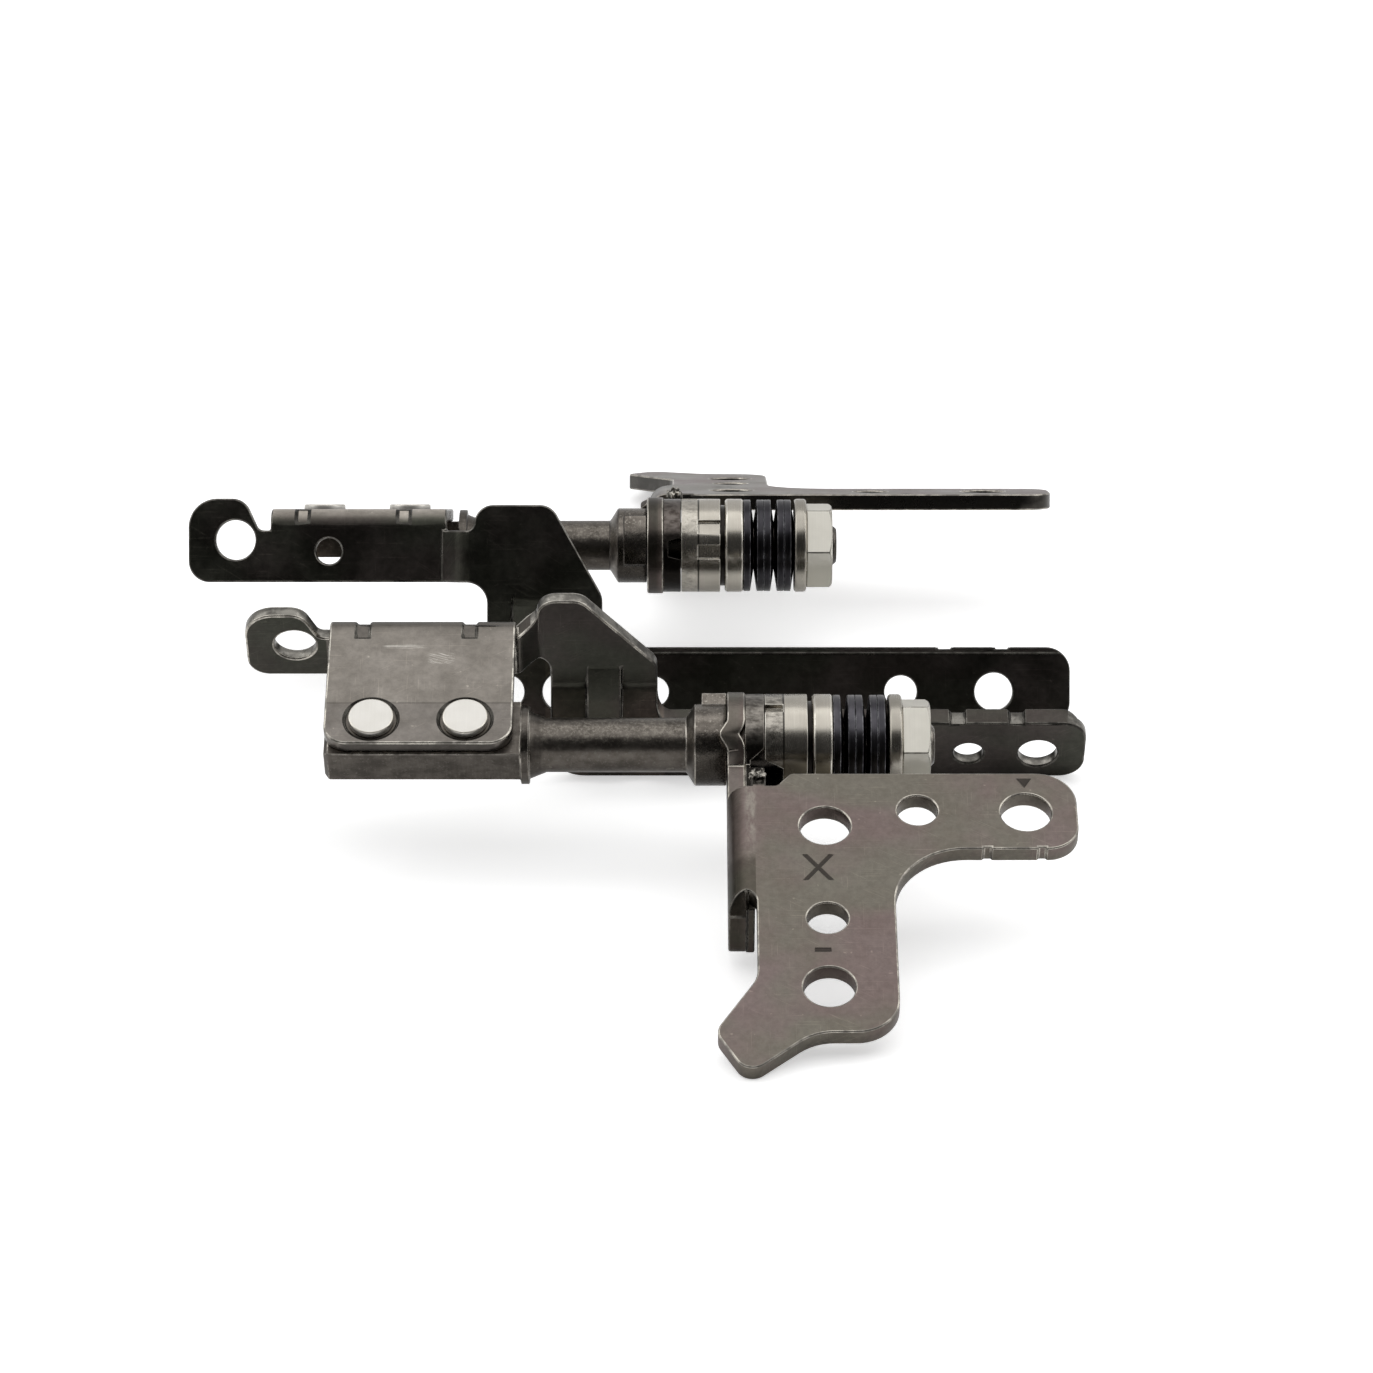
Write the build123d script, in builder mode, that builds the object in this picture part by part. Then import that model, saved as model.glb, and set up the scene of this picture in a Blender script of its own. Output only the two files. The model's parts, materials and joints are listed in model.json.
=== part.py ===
"""Laptop hinge pair: a left and a right friction hinge, mirror images with arms of their own lengths.

Each hinge is drawn in its own frame. x runs along the shaft from the collar's shoulder towards
the nut, y from the shaft towards the display plate, and z out of the base plate's outer face.
The pair's frame has +X along both shafts, +Y from the left hinge to the right one and +Z up.
Each hinge stands on its base plate's foot and on its display bracket's lower bar.
"""

import math
import os
from dataclasses import dataclass

from build123d import *

# How the pair stands, in millimetres and degrees
lid_angle = 94.0
axis_spacing = 29.3
right_shift = -4.9

# Fits
running_gap = 0.03
pivot_clearance = 0.04
key_clearance = 0.03
nib_clearance = 0.05
thread_clearance = 0.02

# Shaft
pivot_diameter = 3.0
flat_width = 2.3
thread_diameter = 2.5
tip_length = 0.3
tip_chamfer = 0.2
collar_diameter = 4.8
collar_length = 1.85
collar_cone = 0.5
lug_diameter = 6.1
lug_length = 1.45
lug_width = 3.2
lug_turn = 8.0
rod_diameter = 3.2
rod_reach = 12.05
shoulder_diameter = 4.6
shoulder_length = 0.5
shoulder_cone = 1.0
shoulder_cone_diameter = 4.0
block_length = 11.5
block_width = 4.1
block_top = 1.55
block_bottom = -0.75
block_chamfer = 0.25

# Stack on the shaft, in order from the eye to the nut
stack_diameter = 6.0
fixed_cam_thickness = 1.12
cam_lobe_height = 1.05
cam_valley_width = 4.0
moving_valley_width = 3.2
cam_slot_width = 1.4
cam_valley_slope = 0.6
cam_valley_depth = 0.8
moving_cam_thickness = 1.45
cam_rim_notch = 0.6
cam_rim_notch_depth = 0.35
cam_rim_notch_turn = 84.0
body_notch = 0.9
body_notch_turn = -8.0
body_notch_step = 32.0
shim_diameter = 5.2
shim_thickness = 0.3
friction_washer_thickness = 1.2
friction_washer_chamfer = 0.12
spring_disc_diameter = 5.9
spring_disc_thickness = 0.44
spring_disc_dish = 0.21
spring_disc_count = 5
end_washer_thickness = 0.8
end_washer_fillet = 0.2
nut_across_flats = 5.0
nut_thickness = 1.65
nut_chamfer = 0.35

# Base bracket: plate outline as distances along the shaft and in front of it
base_sheet = 1.05
base_bend = 0.25
plate_top = 2.95
eye_diameter = 6.2
plate_back = 5.15
bend_back = 6.1
bend_front = 14.2
back_step = 2.85
back_step_run = 0.8
tongue_width = 0.85
tongue_offset = 0.3
tongue_reach = 1.1
arm_front = 11.1
leg_left = 1.6
leg_right = 9.4
leg_front = 24.8
toe_root = 4.7
toe_right = 1.6
toe_left = 0.7
foot_front = 27.35
heel = -0.8
heel_front = 24.75
neck_front = 20.8
arm_back_radius = 2.3
arm_front_radius = 1.8
arm_inner_radius = 4.1
leg_radius = 2.4
toe_root_radius = 3.0
toe_radius = 0.95
heel_radius = 1.1
neck_radius = 2.2
relief_radius = 0.9
step_radius = 0.35
flange_front = 15.2
flange_low = -1.75
flange_corner = 1.0
flange_top = 1.2
hem_thickness = 0.45
hem_length = 2.2
hem_setback = 0.35
stop_angle = 122.0
stop_rise = 0.44
stop_inner = 5.1
stop_half = 1.0
stop_crest = 0.15
stop_radius = 0.35
screw_hole = 2.9
pin_hole = 2.3
hole_column = 5.55
near_screw_front = 9.3
pin_front = 16.4
far_screw_front = 21.5
arm_pin_front = 8.1
arm_screw_front = 8.25

# Fixed cam's key: a lug in front of the cam with a nib in the flange's window
key_reach = 5.3
key_top = 1.2
key_bottom = -0.9
nib_length = 1.3
nib_height = 1.1

# Display bracket: heights from the shaft, and distances behind it to the inner faces
display_sheet = 0.8
tab_setback = 0.45
tab_front = 1.85
tab_corner = 1.4
tab_bend = 1.2
upper_face = 7.5
middle_face = 9.0
lower_face = 7.1
joggle_start = -12.4
joggle_end = -11.2
joggle_radius = 0.5
step_top = -4.9
step_bottom = -6.3
form_lead = 1.2
ear_end = -28.7
ear_top = 3.0
ear_right = -25.2
ear_corner = 1.8
ear_shoulder = 1.2
ear_notch = -24.3
notch_height = 1.0
notch_radius = 0.5
upper_low = -2.25
upper_corner = 1.3
middle_top = 2.6
middle_corner = 1.2
slope_foot = -3.1
slope_radius = 1.5
bar_setback = 0.05
bar_low = -11.3
bar_corner = 1.5
bar_root_radius = 0.8
bar_left_radius = 2.0
ear_hole = 2.5
ear_hole_x = -25.75
ear_hole_z = 0.4
sight_hole = 1.65
sight_hole_x = -19.9
sight_hole_z = -0.3
bar_hole_z = -9.15
bar_screw_hole = 2.4
root_hole = 2.1
root_hole_x = -8.7
root_screw_x = -5.3
mid_hole = 1.9
mid_hole_x = 0.5
rib_left = -8.4
rib_right = -6.3
rib_top = -2.75
rib_bottom = -6.7
dart_width = 0.8
dart_depth = 0.18
dart_left = 2.0
dart_right = 2.7
rim_notch = 0.9
rim_notch_depth = 0.12
rim_notch_near = 4.3
rim_notch_far = 7.9

# Rivets that hold the tab to the shaft's block
rivet_spacing = 5.5
rivet_shank = 1.8
rivet_head = 2.65
rivet_head_height = 0.3
rivet_ring = 3.15
rivet_ring_depth = 0.2
rivet_tail = 2.6
rivet_tail_depth = 0.4


# Lengths that differ between the hinges
left_arm_reach = 20.0
left_arm_pin = 10.85
left_arm_screw = 17.05
left_bar_reach = 22.1
left_bar_pin = 14.95
left_bar_pin_hole = 1.85
left_bar_screw = 19.2
left_nut_turn = 20.0
left_middle_left = -11.3
left_middle_flat = -8.6
left_middle_right = -4.1
left_lower_left = -10.6
right_arm_reach = 26.6
right_arm_pin = 14.75
right_arm_screw = 22.2
right_bar_reach = 26.7
right_bar_pin = 16.05
right_bar_pin_hole = 2.05
right_bar_screw = 21.9
right_nut_turn = -9.0
right_middle_left = -10.7
right_middle_flat = -5.9
right_middle_right = -2.7
right_lower_left = -9.9
right_leg_longer = 2.05
right_leg_narrower = 1.3
right_heel_longer = 0.8


@dataclass
class Hinge:
    """What differs between the two hinges."""

    name: str
    mirrored: bool
    shift: float
    arm_reach: float
    arm_pin: float
    arm_screw: float
    bar_reach: float
    bar_pin: float
    bar_pin_hole: float
    bar_screw: float
    nut_turn: float
    leg_longer: float
    leg_narrower: float
    heel_longer: float
    middle_left: float
    middle_flat: float
    middle_right: float
    lower_left: float


left = Hinge(
    name="left",
    mirrored=False,
    shift=0.0,
    arm_reach=left_arm_reach,
    arm_pin=left_arm_pin,
    arm_screw=left_arm_screw,
    bar_reach=left_bar_reach,
    bar_pin=left_bar_pin,
    bar_pin_hole=left_bar_pin_hole,
    bar_screw=left_bar_screw,
    nut_turn=left_nut_turn,
    leg_longer=0.0,
    leg_narrower=0.0,
    heel_longer=0.0,
    middle_left=left_middle_left,
    middle_flat=left_middle_flat,
    middle_right=left_middle_right,
    lower_left=left_lower_left,
)
right = Hinge(
    name="right",
    mirrored=True,
    shift=right_shift,
    arm_reach=right_arm_reach,
    arm_pin=right_arm_pin,
    arm_screw=right_arm_screw,
    bar_reach=right_bar_reach,
    bar_pin=right_bar_pin,
    bar_pin_hole=right_bar_pin_hole,
    bar_screw=right_bar_screw,
    nut_turn=right_nut_turn,
    leg_longer=right_leg_longer,
    leg_narrower=right_leg_narrower,
    heel_longer=right_heel_longer,
    middle_left=right_middle_left,
    middle_flat=right_middle_flat,
    middle_right=right_middle_right,
    lower_left=right_lower_left,
)
hinges = [left, right]

# Places along the shaft, each piece against the one before it
eye_start = running_gap
eye_end = eye_start + base_sheet
fixed_cam_end = eye_end + fixed_cam_thickness
moving_cam_start = fixed_cam_end + running_gap
cam_body_start = moving_cam_start + cam_lobe_height
cam_body_end = cam_body_start + moving_cam_thickness
shim_end = cam_body_end + shim_thickness
friction_washer_end = shim_end + friction_washer_thickness
spring_disc_pitch = spring_disc_thickness + spring_disc_dish
spring_end = friction_washer_end + spring_disc_count * spring_disc_pitch
end_washer_end = spring_end + end_washer_thickness
nut_end = end_washer_end + nut_thickness
block_end = -rod_reach - block_length

# Sheet faces and rivets
tab_left = block_end
tab_right = -rod_reach - tab_setback
tab_top = block_top + display_sheet
plate_under = plate_top - base_sheet
bar_top = step_bottom - bar_setback
rivet_middle = (tab_left + tab_right) / 2
rivet_places = [rivet_middle - rivet_spacing / 2, rivet_middle + rivet_spacing / 2]
far = 2 * (foot_front + rod_reach + block_length)

past_square = math.radians(lid_angle - 90)


def base_tilt(hinge):
    """Lean of the base plate when its foot and the bar's lower edge lie on one floor."""
    bar_depth = -bar_low
    rise = plate_under + bar_depth * math.cos(past_square) - lower_face * math.sin(past_square)
    run = foot_front + hinge.leg_longer
    run += bar_depth * math.sin(past_square) + lower_face * math.cos(past_square)
    return math.atan2(rise, run)


def axis_height(hinge):
    """Height of the shaft over that floor."""
    tilt = base_tilt(hinge)
    return (foot_front + hinge.leg_longer) * math.sin(tilt) - plate_under * math.cos(tilt)


def foot_reach(hinge):
    """Level distance from the shaft to the foot's tip."""
    tilt = base_tilt(hinge)
    return (foot_front + hinge.leg_longer) * math.cos(tilt) + plate_top * math.sin(tilt)


# Middle of the pair's box
low_ends = [ear_end + hinge.shift for hinge in hinges]
high_ends = [max(hinge.bar_reach, hinge.arm_reach) + hinge.shift for hinge in hinges]
middle_x = (min(low_ends) + max(high_ends)) / 2
middle_y = (foot_reach(right) - foot_reach(left)) / 2


def from_above(z):
    """Sketch plane with x along the shaft and y to the front, extruding downwards."""
    return Plane(origin=(0, 0, z), x_dir=(1, 0, 0), z_dir=(0, 0, -1))


def end_view(x):
    """Sketch plane with x to the front and y upwards, extruding away from the nut."""
    return Plane(origin=(x, 0, 0), x_dir=(0, -1, 0), z_dir=(-1, 0, 0))


def section(x):
    """Sketch plane across the shaft with x to the back and y upwards, extruding towards the nut."""
    return Plane.YZ.offset(x)


def face_view(y):
    """Sketch plane with x along the shaft and y upwards, extruding to the front."""
    return Plane(origin=(0, y, 0), x_dir=(1, 0, 0), z_dir=(0, -1, 0))


def outline(corners):
    """Close a run of straight edges through (x, y, radius) corners and fill it."""
    with BuildLine() as edge:
        FilletPolyline(
            *[(x, y) for x, y, _ in corners],
            radius=[radius for _, _, radius in corners],
            close=True,
        )
    make_face(edge.edges())


def bent_sheet(points, radius, thickness, side):
    """Fill a bent strip of sheet, from one of its faces and its thickness."""
    with BuildLine() as edge:
        FilletPolyline(*points, radius=radius)
        offset(amount=thickness, side=side)
    make_face(edge.edges())


def keyed_hole():
    """Double-D hole that fits over the shaft's flats."""
    Circle(pivot_diameter / 2 + key_clearance)
    Rectangle(stack_diameter, flat_width + 2 * key_clearance, mode=Mode.INTERSECT)


def radial(distance):
    """Sketch plane facing the eye's stop, with x along the shaft, extruding outwards."""
    angle = math.radians(stop_angle)
    facing = Plane(origin=(0, 0, 0), x_dir=(1, 0, 0), z_dir=(0, math.cos(angle), math.sin(angle)))
    return facing.offset(distance)


def make_stop():
    """Wave of the eye's rim that stands in the way of the collar's lug."""
    crest = eye_start - stop_rise
    with BuildPart() as stop:
        with BuildSketch(radial(stop_inner / 2)):
            bent_sheet(
                [
                    (eye_start, -stop_half),
                    (eye_start, -stop_half + stop_crest),
                    (crest, -stop_crest),
                    (crest, stop_crest),
                    (eye_start, stop_half - stop_crest),
                    (eye_start, stop_half),
                ],
                stop_radius,
                base_sheet,
                Side.RIGHT,
            )
        extrude(amount=eye_diameter)
        with BuildSketch(section(crest)):
            Circle(eye_diameter / 2)
        extrude(amount=base_sheet + stop_rise, mode=Mode.INTERSECT)
    return stop.part


def make_base_bracket(hinge):
    """Pressed bracket: screw plate with an arm and a foot, and a flange bent down to the eye."""
    plate = [
        (eye_start, bend_back, 0),
        (back_step, bend_back, step_radius),
        (back_step + back_step_run, plate_back, step_radius),
        (hinge.arm_reach, plate_back, arm_back_radius),
        (hinge.arm_reach, arm_front, arm_front_radius),
        (leg_right - hinge.leg_narrower, arm_front, arm_inner_radius),
        (leg_right - hinge.leg_narrower, leg_front + hinge.leg_longer, leg_radius),
        (toe_root - hinge.heel_longer, leg_front + hinge.leg_longer, toe_root_radius),
        (toe_right - hinge.heel_longer, foot_front + hinge.leg_longer, toe_radius),
        (toe_left - hinge.heel_longer, foot_front + hinge.leg_longer, toe_radius),
        (heel - hinge.heel_longer, heel_front + hinge.leg_longer, heel_radius),
        (leg_left, neck_front, neck_radius),
        (leg_left, bend_front, relief_radius),
        (eye_start, bend_front, 0),
    ]
    eye_radius = eye_diameter / 2
    reach_angle = math.atan2(flange_low, flange_front)
    tangent_angle = reach_angle - math.acos(eye_radius / math.hypot(flange_front, flange_low))
    flange = [
        (eye_radius * math.cos(tangent_angle), eye_radius * math.sin(tangent_angle), 0),
        (flange_front, flange_low, flange_corner),
        (flange_front, plate_under - base_bend, 0),
        (bend_front, plate_top, 0),
        (bend_back, plate_top, 0),
        (bend_back, flange_top, step_radius),
        (0, flange_top, 0),
    ]
    outer_bend = base_bend + base_sheet
    stop = make_stop()
    with BuildPart() as bracket:
        with BuildSketch(from_above(plate_top)):
            outline(plate)
        extrude(amount=base_sheet)
        with BuildSketch(end_view(eye_end)):
            outline(flange)
            Circle(eye_radius)
        extrude(amount=base_sheet)
        # Round the bend outside and inside
        with BuildSketch(Plane.XZ):
            with Locations((eye_start + outer_bend / 2, plate_top - outer_bend / 2)):
                Rectangle(outer_bend, outer_bend)
            with Locations((eye_start + outer_bend, plate_top - outer_bend)):
                Circle(outer_bend, mode=Mode.SUBTRACT)
        extrude(amount=flange_front, mode=Mode.SUBTRACT)
        with BuildSketch(Plane.XZ.offset(bend_back)):
            with Locations((eye_end + base_bend / 2, plate_under - base_bend / 2)):
                Rectangle(base_bend, base_bend)
            with Locations((eye_end + base_bend, plate_under - base_bend)):
                Circle(base_bend, mode=Mode.SUBTRACT)
        extrude(amount=bend_front - bend_back)
        # Hem inside the flange's front end
        with BuildSketch(end_view(eye_end + hem_thickness)):
            with Locations((flange_front - hem_setback - hem_length / 2, (plate_under + flange_low) / 2)):
                Rectangle(hem_length, plate_under - flange_low)
        extrude(amount=hem_thickness)
        with BuildSketch(from_above(plate_top)):
            with Locations((eye_end + tongue_offset + tongue_width / 2, bend_back)):
                Rectangle(tongue_width, 2 * tongue_reach)
        extrude(amount=base_sheet)
        with BuildSketch(from_above(plate_top)):
            with Locations(
                (hole_column, near_screw_front),
                (hole_column, far_screw_front),
                (hinge.arm_screw, arm_screw_front),
            ):
                Circle(screw_hole / 2)
            with Locations((hole_column, pin_front), (hinge.arm_pin, arm_pin_front)):
                Circle(pin_hole / 2)
        extrude(amount=base_sheet, mode=Mode.SUBTRACT)
        with BuildSketch(end_view(eye_end)):
            Circle(pivot_diameter / 2 + pivot_clearance)
            with Locations((key_reach - nib_length / 2, (key_top + key_bottom) / 2)):
                Rectangle(nib_length + 2 * nib_clearance, nib_height + 2 * nib_clearance)
        extrude(amount=base_sheet, mode=Mode.SUBTRACT)
        # Rim pressed towards the collar as the lug's stop
        with BuildSketch(radial(stop_inner / 2)):
            with Locations((eye_start + base_sheet / 2, 0)):
                Rectangle(base_sheet, 2 * stop_half)
        extrude(amount=eye_diameter, mode=Mode.SUBTRACT)
        add(stop)
        # Tooling nicks in the arm's front edge
        with BuildSketch(from_above(plate_top)):
            with Locations(
                (hinge.arm_reach - rim_notch_near / 2, arm_front),
                (hinge.arm_reach - rim_notch_far * 2 / 3, arm_front),
            ):
                Rectangle(rim_notch / 2, 2 * rim_notch_depth)
        extrude(amount=base_sheet, mode=Mode.SUBTRACT)
    return bracket.part


def valley(mouth, floor, width):
    """Outline of a cam's valley, from its mouth at the cam's face to its narrower floor."""
    slope = cam_valley_slope * width / cam_valley_width
    outline(
        [
            (mouth, width / 2, 0),
            (mouth, -width / 2, 0),
            (floor, -width / 2 + slope, 0),
            (floor, width / 2 - slope, 0),
        ]
    )


def make_fixed_cam(hinge):
    """Cam ring that the flange keeps from turning, with a valley for the closed lid."""
    key_middle = (key_top + key_bottom) / 2
    with BuildPart() as cam:
        with BuildSketch(section(eye_end)):
            Circle(stack_diameter / 2)
            with Locations((-key_reach / 2, key_middle)):
                Rectangle(key_reach, key_top - key_bottom)
            Circle(pivot_diameter / 2 + pivot_clearance, mode=Mode.SUBTRACT)
        extrude(amount=fixed_cam_thickness)
        with BuildSketch(end_view(eye_end)):
            with Locations((key_reach - nib_length / 2, key_middle)):
                Rectangle(nib_length, nib_height)
        extrude(amount=base_sheet)
        with BuildSketch(Plane.XZ):
            valley(fixed_cam_end, fixed_cam_end - cam_valley_depth, cam_valley_width)
        extrude(amount=stack_diameter / 2, mode=Mode.SUBTRACT)
        with BuildSketch(Plane.XZ):
            valley(fixed_cam_end, fixed_cam_end - cam_valley_depth, cam_slot_width)
        extrude(amount=-stack_diameter / 2, mode=Mode.SUBTRACT)
    return cam.part


def make_shaft(hinge):
    """Turned and milled shaft: block for the rivets, rod, collar with its stop lug, keyed stud."""
    rod_radius = rod_diameter / 2
    shoulder_radius = shoulder_diameter / 2
    collar_radius = collar_diameter / 2
    pivot_radius = pivot_diameter / 2
    thread_radius = thread_diameter / 2
    tip = nut_end + tip_length
    profile = [
        (-rod_reach, 0),
        (-rod_reach, shoulder_radius),
        (-rod_reach + shoulder_length, shoulder_radius),
        (-rod_reach + shoulder_length, shoulder_cone_diameter / 2),
        (-rod_reach + shoulder_length + shoulder_cone, rod_radius),
        (-collar_length - collar_cone, rod_radius),
        (-collar_length, collar_radius),
        (0, collar_radius),
        (0, pivot_radius),
        (end_washer_end, pivot_radius),
        (end_washer_end, thread_radius),
        (tip - tip_chamfer, thread_radius),
        (tip, thread_radius - tip_chamfer),
        (tip, 0),
    ]
    block_height = block_top - block_bottom
    with BuildPart() as shaft:
        with BuildSketch(Plane.XY):
            with BuildLine():
                Polyline(*profile, close=True)
            make_face()
        revolve(axis=Axis.X)
        with BuildSketch(section(-lug_length)):
            Circle(lug_diameter / 2)
            with PolarLocations(lug_diameter / 2, 1, start_angle=lug_turn):
                Rectangle(lug_diameter, lug_width, mode=Mode.INTERSECT)
        extrude(amount=lug_length)
        with BuildSketch(section(block_end)):
            with Locations((0, (block_top + block_bottom) / 2)):
                Rectangle(block_width, block_height)
        extrude(amount=block_length)
        block_face = shaft.faces().filter_by(Axis.X).sort_by(Axis.X)[0]
        chamfer(block_face.edges(), length=block_chamfer)
        with BuildSketch(section(moving_cam_start)):
            Rectangle(pivot_diameter, pivot_diameter)
            Rectangle(pivot_diameter, flat_width, mode=Mode.SUBTRACT)
        extrude(amount=end_washer_end - moving_cam_start, mode=Mode.SUBTRACT)
        for place in rivet_places:
            with BuildSketch(from_above(block_top)):
                with Locations((place, 0)):
                    Circle(rivet_shank / 2)
            extrude(amount=block_height, mode=Mode.SUBTRACT)
            with BuildSketch(from_above(block_bottom + rivet_tail_depth)):
                with Locations((place, 0)):
                    Circle(rivet_shank / 2)
            with BuildSketch(from_above(block_bottom)):
                with Locations((place, 0)):
                    Circle(rivet_tail / 2)
            loft(mode=Mode.SUBTRACT)
    return shaft.part


def make_rivets(hinge):
    """Two rivets through the tab and the block, peened flush under the block."""
    head_under = tab_top - rivet_ring_depth
    head_top = tab_top + rivet_head_height
    with BuildPart() as rivets:
        for place in rivet_places:
            profile = [
                (0, head_top),
                (rivet_head / 2, head_top),
                (rivet_head / 2, head_under),
                (rivet_shank / 2, head_under),
                (rivet_shank / 2, block_bottom + rivet_tail_depth),
                (rivet_tail / 2, block_bottom),
                (0, block_bottom),
            ]
            with BuildSketch(Plane.XZ):
                with BuildLine():
                    Polyline(*[(place + r, z) for r, z in profile], close=True)
                make_face()
            revolve(axis=Axis((place, 0, 0), (0, 0, 1)))
    return rivets.part


def make_display_bracket(hinge):
    """Pressed bracket: riveted tab, ear, joggled middle and the long lower bar."""
    sheet = [
        (ear_end, ear_top, ear_corner),
        (ear_right, ear_top, ear_shoulder),
        (ear_notch, notch_height, notch_radius),
        (hinge.middle_left, notch_height, notch_radius),
        (hinge.middle_left, middle_top, middle_corner),
        (hinge.middle_flat, middle_top, middle_corner),
        (hinge.middle_right, slope_foot, slope_radius),
        (hinge.middle_right, bar_top, bar_root_radius),
        (hinge.bar_reach, bar_top, bar_corner),
        (hinge.bar_reach, bar_low, bar_corner),
        (hinge.lower_left, bar_low, bar_left_radius),
        (hinge.lower_left, upper_low, upper_corner),
        (ear_end, upper_low, upper_corner),
    ]
    form_middle = step_top + form_lead
    rib_middle = (rib_left + rib_right) / 2
    tab_back = upper_face + display_sheet
    bend_y = tab_back - tab_bend
    bend_z = tab_top - tab_bend
    dart_places = [tab_left + dart_left, tab_right - dart_right]
    with BuildPart() as bracket:
        # Upper half: the ear and tab plane, joggled back to the middle
        with BuildSketch(Plane.XY.offset(form_middle)):
            bent_sheet(
                [
                    (ear_end, upper_face),
                    (joggle_start, upper_face),
                    (joggle_end, middle_face),
                    (hinge.bar_reach, middle_face),
                ],
                joggle_radius,
                display_sheet,
                Side.LEFT,
            )
        extrude(amount=ear_top - form_middle)
        # Lower half: the middle, stepped forward to the bar
        with BuildSketch(section(hinge.middle_left)):
            bent_sheet(
                [
                    (middle_face, form_middle),
                    (middle_face, step_top),
                    (lower_face, step_bottom),
                    (lower_face, bar_low),
                ],
                joggle_radius,
                display_sheet,
                Side.LEFT,
            )
        extrude(amount=hinge.bar_reach - hinge.middle_left)
        # Rib pressed across the step
        with BuildSketch(section(rib_left)):
            with Locations((middle_face, (rib_top + rib_bottom) / 2)):
                Rectangle(far, rib_top - rib_bottom)
        extrude(amount=rib_right - rib_left, mode=Mode.SUBTRACT)
        with BuildSketch(section(rib_left)):
            bent_sheet(
                [
                    (middle_face, rib_top),
                    (middle_face, rib_top - joggle_radius),
                    (lower_face, rib_bottom + joggle_radius),
                    (lower_face, rib_bottom),
                ],
                joggle_radius,
                display_sheet,
                Side.LEFT,
            )
        extrude(amount=rib_right - rib_left)
        with BuildSketch(face_view(far)):
            outline(sheet)
        extrude(amount=far, mode=Mode.INTERSECT)
        # Tab bent forward over the shaft's block
        with BuildSketch(section(tab_left)):
            bent_sheet(
                [(tab_back, upper_low), (tab_back, tab_top), (-tab_front, tab_top)],
                tab_bend,
                display_sheet,
                Side.LEFT,
            )
        extrude(amount=tab_right - tab_left)
        front_corners = bracket.edges().filter_by(Axis.Z).group_by(Axis.Y)[0]
        fillet(front_corners, radius=tab_corner)
        # Darts pressed into the bend
        for place in dart_places:
            with BuildSketch(section(place - dart_width / 2)):
                with BuildLine():
                    Polyline(
                        (bend_y, bend_z - display_sheet),
                        (bend_y, tab_top - display_sheet),
                        (bend_y - display_sheet, tab_top - display_sheet),
                        close=True,
                    )
                make_face()
            extrude(amount=dart_width)
            with BuildSketch(section(place - dart_width / 2)):
                with Locations((bend_y, bend_z)):
                    with Locations(Location((0, 0, 0), 45)):
                        with Locations((2 * tab_bend - dart_depth, 0)):
                            Rectangle(2 * tab_bend, 2 * tab_bend)
            extrude(amount=dart_width, mode=Mode.SUBTRACT)
        # Holes
        with BuildSketch(face_view(far)):
            with Locations((ear_hole_x, ear_hole_z)):
                Circle(ear_hole / 2)
            with Locations((sight_hole_x, sight_hole_z)):
                Circle(sight_hole / 2)
            with Locations((root_hole_x, bar_hole_z)):
                Circle(root_hole / 2)
            with Locations((root_screw_x, bar_hole_z), (hinge.bar_screw, bar_hole_z)):
                Circle(bar_screw_hole / 2)
            with Locations((mid_hole_x, bar_hole_z)):
                Circle(mid_hole / 2)
            with Locations((hinge.bar_pin, bar_hole_z)):
                Circle(hinge.bar_pin_hole / 2)
        extrude(amount=far - lower_face / 2, mode=Mode.SUBTRACT)
        # Tooling nicks in the bar's upper edge
        with BuildSketch(face_view(far)):
            with Locations(
                (hinge.bar_reach - rim_notch_near, bar_top),
                (hinge.bar_reach - rim_notch_far, bar_top),
            ):
                Rectangle(rim_notch, 2 * rim_notch_depth)
        extrude(amount=far - lower_face / 2, mode=Mode.SUBTRACT)
        for place in rivet_places:
            with BuildSketch(from_above(tab_top)):
                with Locations((place, 0)):
                    Circle(rivet_shank / 2)
            extrude(amount=display_sheet, mode=Mode.SUBTRACT)
            with BuildSketch(from_above(tab_top)):
                with Locations((place, 0)):
                    Circle(rivet_ring / 2)
            extrude(amount=rivet_ring_depth, mode=Mode.SUBTRACT)
    return bracket.part


def make_moving_cam(hinge):
    """Keyed cam with two broad lobes that ride on the fixed cam's face, nicked at the rim."""
    body_turns = [body_notch_turn, body_notch_turn + body_notch_step]
    with BuildPart() as cam:
        with BuildSketch(section(moving_cam_start)):
            Circle(stack_diameter / 2)
            with PolarLocations(stack_diameter / 2, 1, start_angle=cam_rim_notch_turn):
                Rectangle(2 * cam_rim_notch_depth, cam_rim_notch, mode=Mode.SUBTRACT)
        extrude(amount=cam_lobe_height)
        with BuildSketch(Plane.XZ):
            valley(moving_cam_start, cam_body_start, moving_valley_width)
        extrude(amount=stack_diameter / 2, mode=Mode.SUBTRACT)
        with BuildSketch(section(cam_body_start)):
            Circle(stack_diameter / 2)
            for turn in body_turns:
                with PolarLocations(stack_diameter / 2, 1, start_angle=turn):
                    Rectangle(2 * cam_rim_notch_depth, body_notch, mode=Mode.SUBTRACT)
        extrude(amount=moving_cam_thickness)
        with BuildSketch(section(moving_cam_start)):
            keyed_hole()
        extrude(amount=cam_body_end - moving_cam_start, mode=Mode.SUBTRACT)
    return cam.part


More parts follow.
